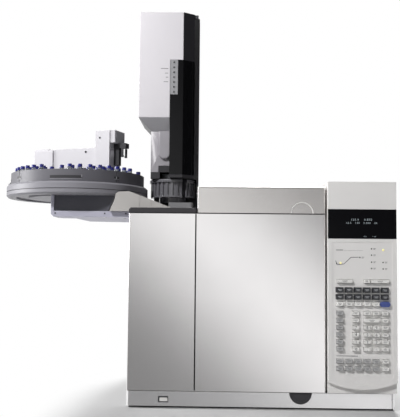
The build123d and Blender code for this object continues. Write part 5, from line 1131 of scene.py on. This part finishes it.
def card_material():
    """A dim card with one bright band across it, which fades evenly to both sides."""
    material = glow_material("card_light", 1.0)
    nodes, links = material.node_tree.nodes, material.node_tree.links
    glow = next(node for node in nodes if node.type == "EMISSION")
    place = nodes.new("ShaderNodeTexCoord")
    along = nodes.new("ShaderNodeVectorMath")
    along.operation = "DOT_PRODUCT"
    along.inputs[1].default_value = (math.cos(BAND_TURN), 0, math.sin(BAND_TURN))
    offset = nodes.new("ShaderNodeMath")
    offset.operation = "SUBTRACT"
    offset.inputs[1].default_value = BAND_MIDDLE
    distance = nodes.new("ShaderNodeMath")
    distance.operation = "ABSOLUTE"
    fade = nodes.new("ShaderNodeMapRange")
    fade.interpolation_type = "SMOOTHSTEP"
    fade.inputs["From Max"].default_value = BAND_REACH
    fade.inputs["To Min"].default_value = BAND_LEVEL
    fade.inputs["To Max"].default_value = CARD_LEVEL
    links.new(place.outputs["Object"], along.inputs[0])
    links.new(along.outputs["Value"], offset.inputs[0])
    links.new(offset.outputs[0], distance.inputs[0])
    links.new(distance.outputs[0], fade.inputs["Value"])
    links.new(fade.outputs[0], glow.inputs["Color"])
    return material


CARD = stage_panel("reflection_card", CARD_SIZE, "X", (0, CARD_Y, CARD_MIDDLE_Z), card_material())
FLAG = stage_panel("dark_flag", FLAG_SIZE, "Y", FLAG_PLACE, glow_material("flag_dark", FLAG_LEVEL))
print("panels", CARD.name, FLAG.name)

# %% [markdown]
# ## The camera
# A long lens stands a little right of the cabinet's middle, low and far, and looks slightly up,
# as a catalogue picture of a tall instrument is taken. Its three axes are worked out from the
# turn, the tilt and a very small roll.

# %% Camera
SENSOR, FOCAL_PIXELS, FRAME_HEIGHT = 36, 769.12, 417
CAMERA_PLACE = (195.34, -1689.8, 311.0)
CAMERA_TURN, CAMERA_TILT, CAMERA_ROLL = 0.02252, 0.07003, -0.00973


def make_camera():
    data = bpy.data.cameras.new("camera")
    data.sensor_width = 36
    data.lens = SENSOR * FOCAL_PIXELS / FRAME_HEIGHT
    data.clip_end = 50
    camera = bpy.data.objects.new("camera", data)
    turn, tilt, roll = CAMERA_TURN, CAMERA_TILT, CAMERA_ROLL
    ahead = Vector((-math.sin(turn) * math.cos(tilt), math.cos(turn) * math.cos(tilt), math.sin(tilt)))
    level = Vector((math.cos(turn), math.sin(turn), 0))
    upright = level.cross(ahead)
    right = level * math.cos(roll) - upright * math.sin(roll)
    up = level * math.sin(roll) + upright * math.cos(roll)
    axes = Matrix((right, up, -ahead)).transposed().to_4x4()
    camera.matrix_world = Matrix.Translation(mm(*CAMERA_PLACE)) @ axes
    bpy.context.scene.collection.objects.link(camera)
    bpy.context.scene.camera = camera
    bpy.context.scene.view_settings.view_transform = "Standard"
    return camera


CAMERA = make_camera()
print("lens", round(CAMERA.data.lens, 1))
